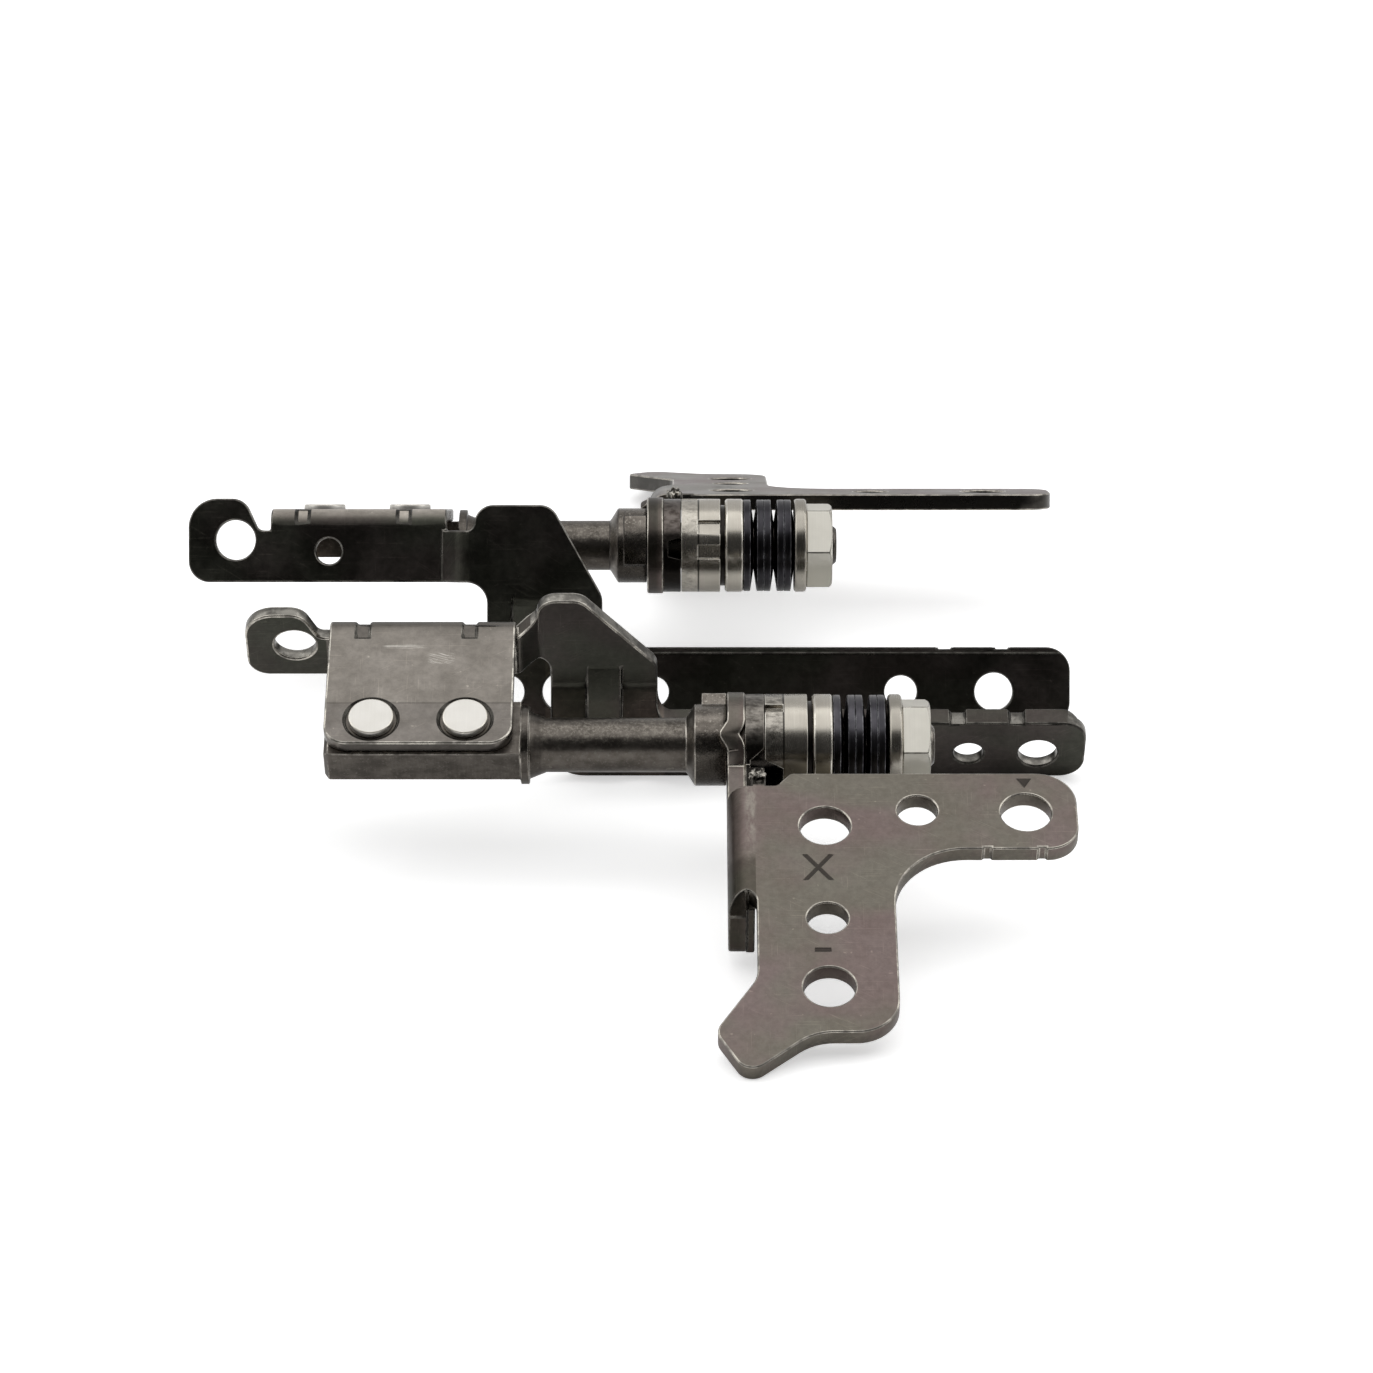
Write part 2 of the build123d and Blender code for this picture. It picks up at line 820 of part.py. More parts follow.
def make_shim(hinge):
    """Thin keyed shim, smaller than its neighbours."""
    with BuildPart() as shim:
        with BuildSketch(section(cam_body_end)):
            Circle(shim_diameter / 2)
        extrude(amount=shim_thickness)
        with BuildSketch(section(cam_body_end)):
            keyed_hole()
        extrude(amount=shim_thickness, mode=Mode.SUBTRACT)
    return shim.part


def make_friction_washer(hinge):
    """Thick keyed washer with broken edges."""
    with BuildPart() as washer:
        with BuildSketch(section(shim_end)):
            Circle(stack_diameter / 2)
        extrude(amount=friction_washer_thickness)
        chamfer(washer.edges(), length=friction_washer_chamfer)
        with BuildSketch(section(shim_end)):
            keyed_hole()
        extrude(amount=friction_washer_thickness, mode=Mode.SUBTRACT)
    return washer.part


def make_spring_disc(number):
    """Conical spring disc: its rim leans towards the eye on the odd ones, to the nut on the even."""
    start = friction_washer_end + number * spring_disc_pitch
    rim_lift, bore_lift = (0, spring_disc_dish) if number % 2 == 0 else (spring_disc_dish, 0)
    rim = spring_disc_diameter / 2
    bore = pivot_diameter / 2 + pivot_clearance
    with BuildPart() as disc:
        with BuildSketch(Plane.XY):
            with BuildLine():
                Polyline(
                    (start + bore_lift, bore),
                    (start + rim_lift, rim),
                    (start + rim_lift + spring_disc_thickness, rim),
                    (start + bore_lift + spring_disc_thickness, bore),
                    close=True,
                )
            make_face()
        revolve(axis=Axis.X)
    return disc.part


def make_end_washer(hinge):
    """Keyed end washer with a rounded rim."""
    with BuildPart() as washer:
        with BuildSketch(section(spring_end)):
            Circle(stack_diameter / 2)
        extrude(amount=end_washer_thickness)
        fillet(washer.edges(), radius=end_washer_fillet)
        with BuildSketch(section(spring_end)):
            keyed_hole()
        extrude(amount=end_washer_thickness, mode=Mode.SUBTRACT)
    return washer.part


def make_nut(hinge):
    """Hexagon nut, chamfered on its outer face."""
    corner = nut_across_flats / math.sqrt(3)
    with BuildPart() as nut:
        with BuildSketch(section(end_washer_end)):
            RegularPolygon(nut_across_flats / 2, 6, major_radius=False, rotation=hinge.nut_turn)
        extrude(amount=nut_thickness)
        with BuildSketch(Plane.XY):
            with BuildLine():
                Polyline(
                    (end_washer_end, 0),
                    (end_washer_end, corner),
                    (nut_end - nut_chamfer / 2, corner),
                    (nut_end, corner - nut_chamfer),
                    (nut_end, 0),
                    close=True,
                )
            make_face()
        revolve(axis=Axis.X, mode=Mode.INTERSECT)
        with BuildSketch(section(end_washer_end)):
            Circle(thread_diameter / 2 + thread_clearance)
        extrude(amount=nut_thickness, mode=Mode.SUBTRACT)
    return nut.part


def stand(hinge, tilt, piece, node_name):
    """Hand the piece to its side, stand it in the pair's frame and write it."""
    hand = -1 if hinge.mirrored else 1
    seat = Plane(
        origin=(hinge.shift - middle_x, -hand * axis_spacing / 2 - middle_y, axis_height(hinge)),
        x_dir=(1, 0, 0),
        z_dir=(0, -hand * math.sin(tilt), math.cos(tilt)),
    )
    with BuildPart() as handed:
        add(piece)
        if hinge.mirrored:
            mirror(about=Plane.XZ, mode=Mode.REPLACE)
    with BuildPart(seat) as node:
        add(handed.part)
    node.part.label = f"{hinge.name}_{node_name}"
    export_step(node.part, f"parts/{node.part.label}.step")


base_makers = {"base_bracket": make_base_bracket, "fixed_cam": make_fixed_cam}
display_makers = {
    "shaft": make_shaft,
    "rivets": make_rivets,
    "display_bracket": make_display_bracket,
    "moving_cam": make_moving_cam,
    "shim": make_shim,
    "friction_washer": make_friction_washer,
    "end_washer": make_end_washer,
    "nut": make_nut,
}

os.makedirs("parts", exist_ok=True)
for hinge in hinges:
    lean = base_tilt(hinge)
    for node_name, maker in base_makers.items():
        stand(hinge, lean, maker(hinge), node_name)
    for node_name, maker in display_makers.items():
        stand(hinge, lean + past_square, maker(hinge), node_name)
    for number in range(spring_disc_count):
        stand(hinge, lean + past_square, make_spring_disc(number), f"spring_disc_{number + 1}")
    print(hinge.name, "lean", round(math.degrees(lean), 2), "shaft height", round(axis_height(hinge), 3))
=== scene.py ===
# %% [markdown]
# # A pair of laptop hinges
#
# Two small friction hinges stand side by side on a pale floor. The solids come ready made, so
# this lesson is about everything that makes metal look like metal: broken edges, plating that
# has worn through, turning marks, stamped marks and soft studio light.
#
# The first cell loads the solids. It also gives a way to read each solid's box. Nothing added
# later may make the hinges bigger than they are.

# %% Load the solids
import json
import math

import bmesh
import bpy
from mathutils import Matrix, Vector, noise
from mathutils.bvhtree import BVHTree
from mathutils.geometry import delaunay_2d_cdt
from mathutils.kdtree import KDTree

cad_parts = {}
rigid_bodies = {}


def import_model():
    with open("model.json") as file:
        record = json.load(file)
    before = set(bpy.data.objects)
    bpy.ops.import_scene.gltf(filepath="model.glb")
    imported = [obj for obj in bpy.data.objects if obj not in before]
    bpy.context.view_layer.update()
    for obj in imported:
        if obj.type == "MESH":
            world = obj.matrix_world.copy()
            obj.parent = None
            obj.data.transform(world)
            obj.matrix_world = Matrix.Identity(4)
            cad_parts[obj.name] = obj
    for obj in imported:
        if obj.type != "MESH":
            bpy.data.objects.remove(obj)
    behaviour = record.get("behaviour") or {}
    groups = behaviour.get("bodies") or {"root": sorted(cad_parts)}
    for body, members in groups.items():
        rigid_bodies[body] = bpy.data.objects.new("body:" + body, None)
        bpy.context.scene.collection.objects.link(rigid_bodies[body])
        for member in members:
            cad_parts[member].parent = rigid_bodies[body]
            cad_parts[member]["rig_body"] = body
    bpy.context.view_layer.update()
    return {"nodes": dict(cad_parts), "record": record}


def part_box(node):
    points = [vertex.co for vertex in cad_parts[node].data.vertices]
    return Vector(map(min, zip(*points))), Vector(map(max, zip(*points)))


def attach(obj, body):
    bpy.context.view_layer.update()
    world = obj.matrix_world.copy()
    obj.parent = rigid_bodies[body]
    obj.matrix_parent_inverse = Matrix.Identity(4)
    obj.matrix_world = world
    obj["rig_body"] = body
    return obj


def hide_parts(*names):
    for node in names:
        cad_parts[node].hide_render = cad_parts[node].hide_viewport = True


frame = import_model()
scene = bpy.context.scene
MM = 0.001

# %% [markdown]
# ## Where things are
#
# Both shafts run along X. A washer is round, so the middle of its box lies on the shaft's axis,
# and no number has to be copied from the drawing. Each bracket leans: the lean of a base plate
# can be read from one of its screw patterns, because that pattern's axis is the plate's normal.

# %% Find the shafts and the leaning plates
def middle(node):
    low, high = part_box(node)
    return (low + high) / 2


mounts = {mount["name"]: mount for mount in frame["record"]["mounts"]}
shaft_axis = {}
cam_face = {}
rivet_middle = {}
plate_up = {}
plate_front = {}
plate_screws = {}
display_out = {}
display_up = {}
for side, forward in (("left", -1), ("right", 1)):
    screws = mounts[f"{side}_base_leg_screws"]
    shaft_axis[side] = middle(f"{side}_end_washer")
    cam_face[side] = shaft_axis[side].copy()
    cam_face[side].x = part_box(f"{side}_moving_cam")[0].x
    rivet_middle[side] = middle(f"{side}_rivets")
    plate_up[side] = Vector(screws["axis"]).normalized()
    plate_front[side] = forward * Vector((0, plate_up[side].z, -plate_up[side].y))
    plate_screws[side] = Vector(screws["pos_m"])
    display_out[side] = Vector(mounts[f"{side}_bar_screws"]["axis"]).normalized()
    display_up[side] = -forward * Vector((0, -display_out[side].z, display_out[side].y))
    lean = math.degrees(math.asin(abs(plate_up[side].y)))
    print(side, "shaft", round(shaft_axis[side].z / MM, 2), "mm high, plate leans", round(lean, 1), "degrees")

# %% [markdown]
# ## Camera
#
# The hinges were photographed with a long lens from a little above: 25 degrees down, about
# 27 centimetres away. A long lens keeps the two shafts almost parallel in the picture. The
# camera is placed from the front hinge's nut, so it follows the solids if they change.

# %% Set the camera
CAMERA_DOWN = math.radians(25.0)
look = Vector((0, math.cos(CAMERA_DOWN), -math.sin(CAMERA_DOWN)))
rise = Vector((0, math.sin(CAMERA_DOWN), math.cos(CAMERA_DOWN)))
nut_face = shaft_axis["left"].copy()
nut_face.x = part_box("left_nut")[1].x
lens = bpy.data.cameras.new("studio_camera")
lens.lens = 120.35
lens.sensor_width = 36
lens.clip_start = 0.01
camera = bpy.data.objects.new("studio_camera", lens)
camera.location = nut_face - Vector((14.265 * MM, 0, 0)) + rise * 3.441 * MM - look * 270 * MM
camera.rotation_euler = (math.pi / 2 - CAMERA_DOWN, 0, 0)
scene.collection.objects.link(camera)
scene.camera = camera
scene.view_settings.view_transform = "Standard"
print("camera at", [round(c / MM, 1) for c in camera.location], "mm")

# %% [markdown]
# ## Shader sums as plain Python
#
# A finish is a recipe of noise, sums and mixes. Wiring that by hand hides the idea, so a small
# class wraps a socket and turns `a + b` or `1 - mask` into Math nodes. Every other node comes
# from one method, `node`, which takes the node's type, its settings and its sockets.

# %% A socket that can be added and multiplied
class Field:
    """One output socket of a finish, ready for arithmetic."""

    def __init__(self, finish, socket):
        self.finish = finish
        self.socket = socket

    def sum_node(self, operation, first, second=None):
        values = {0: first} if second is None else {0: first, 1: second}
        return self.finish.node("ShaderNodeMath", {"operation": operation}, values)

    def __add__(self, other):
        return self.sum_node("ADD", self, other)

    def __radd__(self, other):
        return self.sum_node("ADD", other, self)

    def __sub__(self, other):
        return self.sum_node("SUBTRACT", self, other)

    def __rsub__(self, other):
        return self.sum_node("SUBTRACT", other, self)

    def __mul__(self, other):
        return self.sum_node("MULTIPLY", self, other)

    def __rmul__(self, other):
        return self.sum_node("MULTIPLY", other, self)

    def __gt__(self, other):
        return self.sum_node("GREATER_THAN", self, other)

    def __abs__(self):
        return self.sum_node("ABSOLUTE", self)

    def most(self, other):
        return self.sum_node("MAXIMUM", self, other)

    def least(self, other):
        return self.sum_node("MINIMUM", self, other)

    def step(self, low, high):
        """0 below low, 1 above high and a soft slope between."""
        return self.finish.node(
            "ShaderNodeMapRange",
            {"interpolation_type": "SMOOTHSTEP", "clamp": True},
            {"Value": self, "From Min": low, "From Max": high},
        )

    def near(self, centre, half, soft):
        """1 within half of a centre, and 0 a soft edge further out."""
        return 1 - abs(self - centre).step(half, half + soft)


class Finish:
    """The node tree of a material or a world, under construction."""

    def __init__(self, owner):
        self.owner = owner
        owner.use_nodes = True
        self.tree = owner.node_tree
        self.tree.nodes.clear()
        self.spot = None

    def node(self, kind, settings, sockets, output=0):
        made = self.tree.nodes.new(kind)
        for key, value in settings.items():
            setattr(made, key, value)
        for key, value in sockets.items():
            if isinstance(value, Field):
                self.tree.links.new(value.socket, made.inputs[key])
            else:
                made.inputs[key].default_value = value
        return Field(self, made.outputs[output]) if made.outputs else None

    def place(self):
        """Where a point of the surface is, in millimetres."""
        if self.spot is None:
            metres = self.node("ShaderNodeTexCoord", {}, {}, "Object")
            scaled = {0: metres, "Scale": 1 / MM}
            self.spot = self.node("ShaderNodeVectorMath", {"operation": "SCALE"}, scaled)
        return self.spot

    def noise(self, per_mm, detail=3.0, roughness=0.55):
        """Noise with its own number of waves to the millimetre along each axis."""
        squeezed = {0: self.place(), 1: per_mm}
        where = self.node("ShaderNodeVectorMath", {"operation": "MULTIPLY"}, squeezed)
        sockets = {"Vector": where, "Scale": 1.0, "Detail": detail, "Roughness": roughness}
        return self.node("ShaderNodeTexNoise", {}, sockets)

    def along(self, direction, origin):
        """Distance in millimetres from a point, measured along a direction."""
        vectors = {0: self.place(), 1: tuple(direction)}
        dot = self.node("ShaderNodeVectorMath", {"operation": "DOT_PRODUCT"}, vectors, "Value")
        return dot - direction.dot(origin) / MM

    def apart(self, first, second):
        """Length of the hypotenuse over two distances."""
        flat = self.node("ShaderNodeCombineXYZ", {}, {0: first, 1: second})
        return self.node("ShaderNodeVectorMath", {"operation": "LENGTH"}, {0: flat}, "Value")

    def blend(self, amount, first, second):
        """Colour that goes from first to second."""
        sockets = {0: amount, 6: opaque(first), 7: opaque(second)}
        return self.node("ShaderNodeMix", {"data_type": "RGBA"}, sockets, 2)

    def tinted(self, amount, colour, factor):
        """Colour multiplied by a factor, as far as the amount says."""
        sockets = {0: amount, 6: opaque(colour), 7: opaque(factor)}
        return self.node("ShaderNodeMix", {"data_type": "RGBA", "blend_type": "MULTIPLY"}, sockets, 2)

    def metal(self, colour, roughness, height=None, depth_mm=0.006):
        """Close the recipe with a metal shader."""
        sockets = {"Base Color": opaque(colour), "Roughness": roughness, "Metallic": 1.0}
        if height is not None:
            bump = {"Height": height, "Strength": 1.0, "Distance": depth_mm * MM}
            sockets["Normal"] = self.node("ShaderNodeBump", {}, bump)
        surface = self.node("ShaderNodeBsdfPrincipled", {}, sockets)
        self.node("ShaderNodeOutputMaterial", {}, {"Surface": surface})
        return self.owner


def opaque(colour):
    return colour if isinstance(colour, Field) else (*colour, 1)


def grey(value):
    return (value, value, value)


print("shader helpers ready")

# %% [markdown]
# ## Black-nickel sheet
#
# Both brackets are pressed from steel sheet and plated with black nickel: a brown-grey satin that
# drifts between plum and olive, finely mottled, with hair-fine scratches from handling. One flat
# colour would look like plastic, so several noises of different size work on one another. A
# scratch is the thin line where a much stretched noise passes a threshold.

# %% Sheet finish
X_AXIS = Vector((1, 0, 0))
Z_AXIS = Vector((0, 0, 1))


def streaks(finish, run, across, length_mm, width_mm, amount):
    """Straight fine scratches that follow one direction, 1 on a scratch."""
    flat = {0: run * (1 / length_mm), 1: across * (1 / width_mm)}
    where = finish.node("ShaderNodeCombineXYZ", {}, flat)
    sockets = {"Vector": where, "Scale": 1.0, "Detail": 1.0}
    field = finish.node("ShaderNodeTexNoise", {"noise_dimensions": "2D"}, sockets)
    return field.step(amount, amount + 0.05)


def sheet_finish(name, normal, origin, shades, wear_and_painted_light, marks=None):
    """Black nickel on pressed sheet whose flat faces look along one normal."""
    finish = Finish(bpy.data.materials.new(name))
    x = finish.along(X_AXIS, origin)
    level = finish.along(X_AXIS.cross(normal), origin) + finish.along(normal, origin)
    cloud = finish.noise((0.26, 0.26, 0.26), detail=5.0, roughness=0.62).step(0.32, 0.68)
    plum = finish.noise((0.13, 0.15, 0.15), detail=3.0).step(0.4, 0.62)
    mottle = finish.noise((2.4, 2.4, 2.4), detail=5.0, roughness=0.72)
    grain = finish.noise((0.9, 12.0, 12.0), detail=3.0, roughness=0.6)
    nicks = finish.noise((2.3, 2.3, 2.3), detail=1.0).step(0.75, 0.78)
    lines = streaks(finish, x, level, 4.0, 0.07, 0.72)
    lines = lines.most(streaks(finish, level, x, 3.0, 0.06, 0.75))
    lines = lines.most(streaks(finish, x + 0.6 * level, level - 0.6 * x, 4.0, 0.08, 0.74))
    colour = finish.blend(cloud, *shades)
    colour = finish.tinted(1.0, colour, finish.blend(plum, (0.97, 1.03, 0.95), (1.06, 0.97, 1.0)))
    # Wear and grease of the bracket, with its painted light and shade.
    colour = wear_and_painted_light(finish, colour)
    colour = finish.tinted(1.0, colour, finish.blend(mottle.step(0.3, 0.7), grey(0.88), grey(1.12)))
    colour = finish.tinted(lines * 0.35, colour, (1.75, 1.72, 1.66))
    colour = finish.tinted(nicks * 0.5, colour, (1.9, 1.9, 1.85))
    roughness = 0.33 + 0.12 * cloud + 0.15 * (mottle - 0.5) - 0.05 * lines
    height = 0.3 * grain + 0.55 * mottle - 0.4 * lines
    if marks is not None:
        pressed = marks(finish)
        colour = finish.blend(pressed * 0.8, colour, (0.022, 0.019, 0.017))
        height = height - 8.0 * pressed
    return finish.metal(colour, roughness, height)


def rim_finish(name, dull, bright, size=1.1, wear_and_painted_light=None):
    """Broken edge, where the plating is rubbed thin in places."""
    finish = Finish(bpy.data.materials.new(name))
    rub = finish.noise((size, size, size), detail=4.0, roughness=0.65).step(0.36, 0.62)
    colour = finish.blend(rub, dull, bright)
    # Painted shade, painted highlight and grease on the rim, where the recipe gives them.
    if wear_and_painted_light is not None:
        colour = wear_and_painted_light(finish, colour)
    return finish.metal(colour, 0.34 - 0.08 * rub)


print("sheet finish ready")

# %% [markdown]
# ## Wear and painted light on the sheet
#
# Wear is where hands and neighbours touch. It could be painted on by hand, but a painting has to
# be made again whenever the part changes. Here each mask is a distance along the bracket's own
# directions, so it follows the part. The distance from a rivet comes first, because the groove
# round each head gets a painted shade.

# %% Distance from the rivets


def rivet_centres(side):
    """Middle of each of the two rivets, from the outline of each half."""
    points = [vertex.co for vertex in frame["nodes"][f"{side}_rivets"].data.vertices]
    split = rivet_middle[side].x
    for half in ([p for p in points if p.x < split], [p for p in points if p.x >= split]):
        yield Vector([(min(p[i] for p in half) + max(p[i] for p in half)) / 2 for i in range(3)])


def from_rivets(finish, side):
    """Distance to the nearest rivet's axis."""
    radii = []
    for centre in rivet_centres(side):
        radii.append(finish.apart(finish.along(X_AXIS, centre), finish.along(display_out[side], centre)))
    return radii[0].least(radii[1])


print("rivets found:", [len(list(rivet_centres(side))) for side in ("left", "right")])

# %% [markdown]
# ### Display bracket
#
# The tab's top is rubbed pale, creased over the back edge of the block below it and scratched in
# two places; painted shade lies along the crease and round the rivets, and painted light on the bend.
# The step under the middle plate and the sheared edge on top of it get a painted highlight. The
# rims are polished on top, with painted shade round the rivets, in the two darts and low down.

# %% Wear and painted light on the display bracket
DART_PLACES = (-3.53, 2.82)
DART_WIDTH = 0.8


def tab_wear_and_painted_light(side, bend_painted_light):
    """Rubbed, scratched tab with painted shade along its crease and round its rivets and painted light on its
    bend; painted highlight on the step under the middle plate.
    """
    outline = [vertex.co for vertex in frame["nodes"][f"{side}_display_bracket"].data.vertices]
    tab_front = min((point - rivet_middle[side]).dot(display_out[side]) for point in outline) / MM

    def wear_and_painted_light(finish, colour):
        x = finish.along(X_AXIS, rivet_middle[side])
        back = finish.along(display_out[side], rivet_middle[side])
        height = finish.along(display_up[side], shaft_axis[side])
        # Painted highlight on the step under the middle plate, weaker over the rib.
        step_highlight = (1 - height.step(-5.2, -4.9)) * (1 - x.step(14.2, 14.4))
        rib = x.near(10.67, 1.0, 0.08)
        colour = finish.tinted(step_highlight * (1 - 0.7 * rib), colour, (1.75, 1.65, 1.55))
        tab = (1 - back.step(7.5, 8.25)) * x.near(0, 5.8, 0.1)
        cloud = finish.noise((0.5, 0.5, 0.5), detail=4.0).step(0.3, 0.7)
        rubbed = finish.blend(cloud, (0.2, 0.182, 0.16), (0.27, 0.247, 0.22))
        # Darker in front of the crease, with a painted shade line along the crease itself.
        rubbed = finish.tinted((1 - back.step(1.1, 1.3)) * 0.7, rubbed, (0.78, 0.78, 0.8))
        rubbed = finish.tinted(back.near(1.25, 0.03, 0.06) * 0.6, rubbed, grey(0.45))
        fine = streaks(finish, x, back, 3.0, 0.03, 0.56)
        slanted = streaks(finish, x - 0.35 * back, back + 0.35 * x, 1.6, 0.035, 0.57)
        first = x.near(-1.0, 1.0, 0.4) * back.near(5.7, 0.12, 0.08)
        second = x.near(1.2, 0.5, 0.4) * back.near(4.75, 0.3, 0.2)
        rubbed = finish.blend((fine * first).most(slanted * second) * 0.8, rubbed, (0.62, 0.59, 0.54))
        # Painted shade in the groove round each rivet head, with a dark ring at its edge.
        radius = from_rivets(finish, side)
        rubbed = finish.tinted(1 - radius.step(1.5, 1.56), rubbed, (0.66, 0.65, 0.63))
        rubbed = finish.tinted(radius.near(1.56, 0.04, 0.05) * 0.9, rubbed, grey(0.2))
        # A darker band along the tab's front edge.
        rubbed = finish.tinted(1 - back.step(tab_front + 0.02, tab_front + 0.1), rubbed, grey(0.5))
        # Painted shade towards the left tab's bend, painted highlight on the right tab's bend.
        rubbed = finish.tinted(back.step(6.6, 7.4), rubbed, grey(bend_painted_light))
        return finish.blend(tab, colour, rubbed)

    return wear_and_painted_light


def rim_painted_shade(side, low_shade):
    """Painted shade on the rims round the rivets, in the darts and low down on the upright part."""

    def wear_and_painted_light(finish, colour):
        x = finish.along(X_AXIS, rivet_middle[side])
        back = finish.along(display_out[side], rivet_middle[side])
        low = 1 - finish.along(Z_AXIS, shaft_axis[side]).step(0.6, 2.6)
        colour = finish.tinted(low * back.step(4.0, 6.0), colour, grey(low_shade))
        darts = x.near(DART_PLACES[0], 0.55, 0.1).most(x.near(DART_PLACES[1], 0.55, 0.1))
        colour = finish.tinted(darts * back.step(5.9, 6.1), colour, grey(0.35))
        return finish.tinted(1 - from_rivets(finish, side).step(1.7, 1.8), colour, grey(0.12))

    return wear_and_painted_light


def top_edge_highlight(side):
    """Painted highlight on the sheared edge along the top of the middle plate."""

    def wear_and_painted_light(finish, colour):
        x = finish.along(X_AXIS, rivet_middle[side])
        height = finish.along(display_up[side], shaft_axis[side])
        return finish.tinted(height.step(1.9, 2.4) * x.step(6.0, 6.4), colour, grey(1.7))

    return wear_and_painted_light


print("display wear ready, darts", DART_WIDTH, "mm wide")

# %% [markdown]
# ### Base bracket
#
# The outside of the bend gets a painted highlight line, and the flange below it painted shade.
# The hook at its front gets painted shade too; the sheared tongue at its back is black with grease.

# %% Painted light and grease on the base bracket
def bend_light_shade_and_grease(side, eye_shade):
    """Painted highlight on the outside of the bend, painted shade on the flange and the hook, greasy tongue.
    """

    def wear_and_painted_light(finish, colour):
        x = finish.along(X_AXIS, plate_screws[side])
        front = finish.along(plate_front[side], plate_screws[side])
        rub = finish.noise((2.2, 0.9, 0.9), detail=4.0, roughness=0.7).step(0.36, 0.62)
        flange = 1 - x.step(-5.0, -4.5)
        # Painted shade on the flange below the bend.
        colour = finish.tinted(flange * front.near(-3.2, 6.0, 0.6), colour, (0.55, 0.56, 0.53))
        eye = (0.86 * eye_shade, 0.93 * eye_shade, 0.9 * eye_shade)
        colour = finish.tinted(flange * (1 - front.step(-9.6, -9.2)), colour, eye)
        # Painted shade in the hook.
        hook = (1 - x.step(-4.0, -3.95)) * front.near(-1.5, 1.9, 0.6)
        colour = finish.tinted(hook, colour, (0.6, 0.6, 0.58))
        # Painted highlight along the outside of the bend, mottled by the rub noise.
        line = x.near(-4.22, 0.12, 0.35) * (1 - front.step(-7.0, -2.5))
        colour = finish.blend(line * rub * 0.6, colour, (0.34, 0.317, 0.273))
        torn = finish.noise((2.4, 2.4, 2.4), detail=4.0, roughness=0.7).step(0.42, 0.66)
        tongue = (1 - front.step(-9.4, -9.2)) * (1 - x.step(-3.25, -3.2)) * x.step(-4.3, -4.2)
        greasy = finish.blend(torn, (0.012, 0.011, 0.009), (0.12, 0.11, 0.097))
        return finish.blend(tongue, colour, greasy)

    return wear_and_painted_light


def hook_shade_and_tongue_grease(side):
    """Painted shade on the rims round the hook; rims at the torn tongue are dark with grease."""

    def wear_and_painted_light(finish, colour):
        x = finish.along(X_AXIS, plate_screws[side])
        front = finish.along(plate_front[side], plate_screws[side])
        hook = (1 - x.step(-4.0, -3.9)) * front.near(-1.5, 1.9, 0.6)
        tongue = (1 - front.step(-9.2, -9.0)) * x.near(-3.4, 0.85, 0.1)
        return finish.tinted(hook.most(tongue), colour, grey(0.3))

    return wear_and_painted_light


print("base wear ready")

# %% [markdown]
# ## Stamped marks
#
# The press leaves plain marks on each base plate: a cross beside the first screw hole, a dash and
# a small triangle. They are worked out from distances in the plate's own directions: along the
# shaft and towards the plate's front.

# %% Marks on the base plates
def plate_marks(side):
    """Mask of the marks, placed from the plate's leg screws."""

    def marks(finish):
        x = finish.along(X_AXIS, plate_screws[side])
        front = finish.along(plate_front[side], plate_screws[side])
        up = finish.along(plate_up[side], plate_screws[side])
        cross_x = x + 0.45
        cross_front = front + 2.85
        arms = abs(cross_x - 0.75 * cross_front).least(abs(cross_x + 0.75 * cross_front))
        cross = (1 - arms.step(0.1, 0.2)) * cross_front.near(0, 0.92, 0.1)
        dash = x.near(-0.3, 0.42, 0.08) * front.near(3.4, 0.09, 0.08)
        corner_x = x - 11.5
        corner_front = front + 9.35
        triangle = (1 - (abs(corner_x) + 0.6 * corner_front).step(0.1, 0.2)) * (corner_front > -0.45)
        return cross.most(dash).most(triangle) * (up > 0.3)

    return marks


print("marks ready: cross, dash, triangle")

# %% [markdown]
# ## Finishes of both brackets
#
# The same recipes serve both hinges, with painted shade darkening the display brackets. The left
# hinge is in the light and well rubbed; the right one stands behind it, its rims are duller and
# its tab's bend gets a painted highlight.

# %% Dress the sheet
PLATE_SHADES = (0.147, 0.124, 0.111), (0.186, 0.162, 0.147)
# The display bracket has the same black nickel as the base plate; its darker colour is painted shade for the
# dark reflections of its upright faces.
UPRIGHT_PAINTED_SHADE = (0.05, 0.047, 0.041), (0.074, 0.07, 0.062)
base_sheet = {}
display_sheet = {}
for side, bend_painted_light, eye_shade in (("left", 0.72, 1.08), ("right", 2.2, 0.5)):
    wear_and_painted_light = bend_light_shade_and_grease(side, eye_shade)
    base_sheet[side] = sheet_finish(
        f"{side}_base_sheet", plate_up[side], plate_screws[side], PLATE_SHADES, wear_and_painted_light, plate_marks(side)
    )
    wear_and_painted_light = tab_wear_and_painted_light(side, bend_painted_light)
    display_sheet[side] = sheet_finish(
        f"{side}_display_sheet", display_out[side], shaft_axis[side], UPRIGHT_PAINTED_SHADE, wear_and_painted_light
    )
RIM_SHADES = {
    "left": ((0.2, 0.187, 0.167), (0.62, 0.585, 0.52), 0.22),
    "right": ((0.08, 0.075, 0.067), (0.2, 0.19, 0.17), 0.5),
}
base_rim = {}
display_rim = {}
sheared_edge = {}
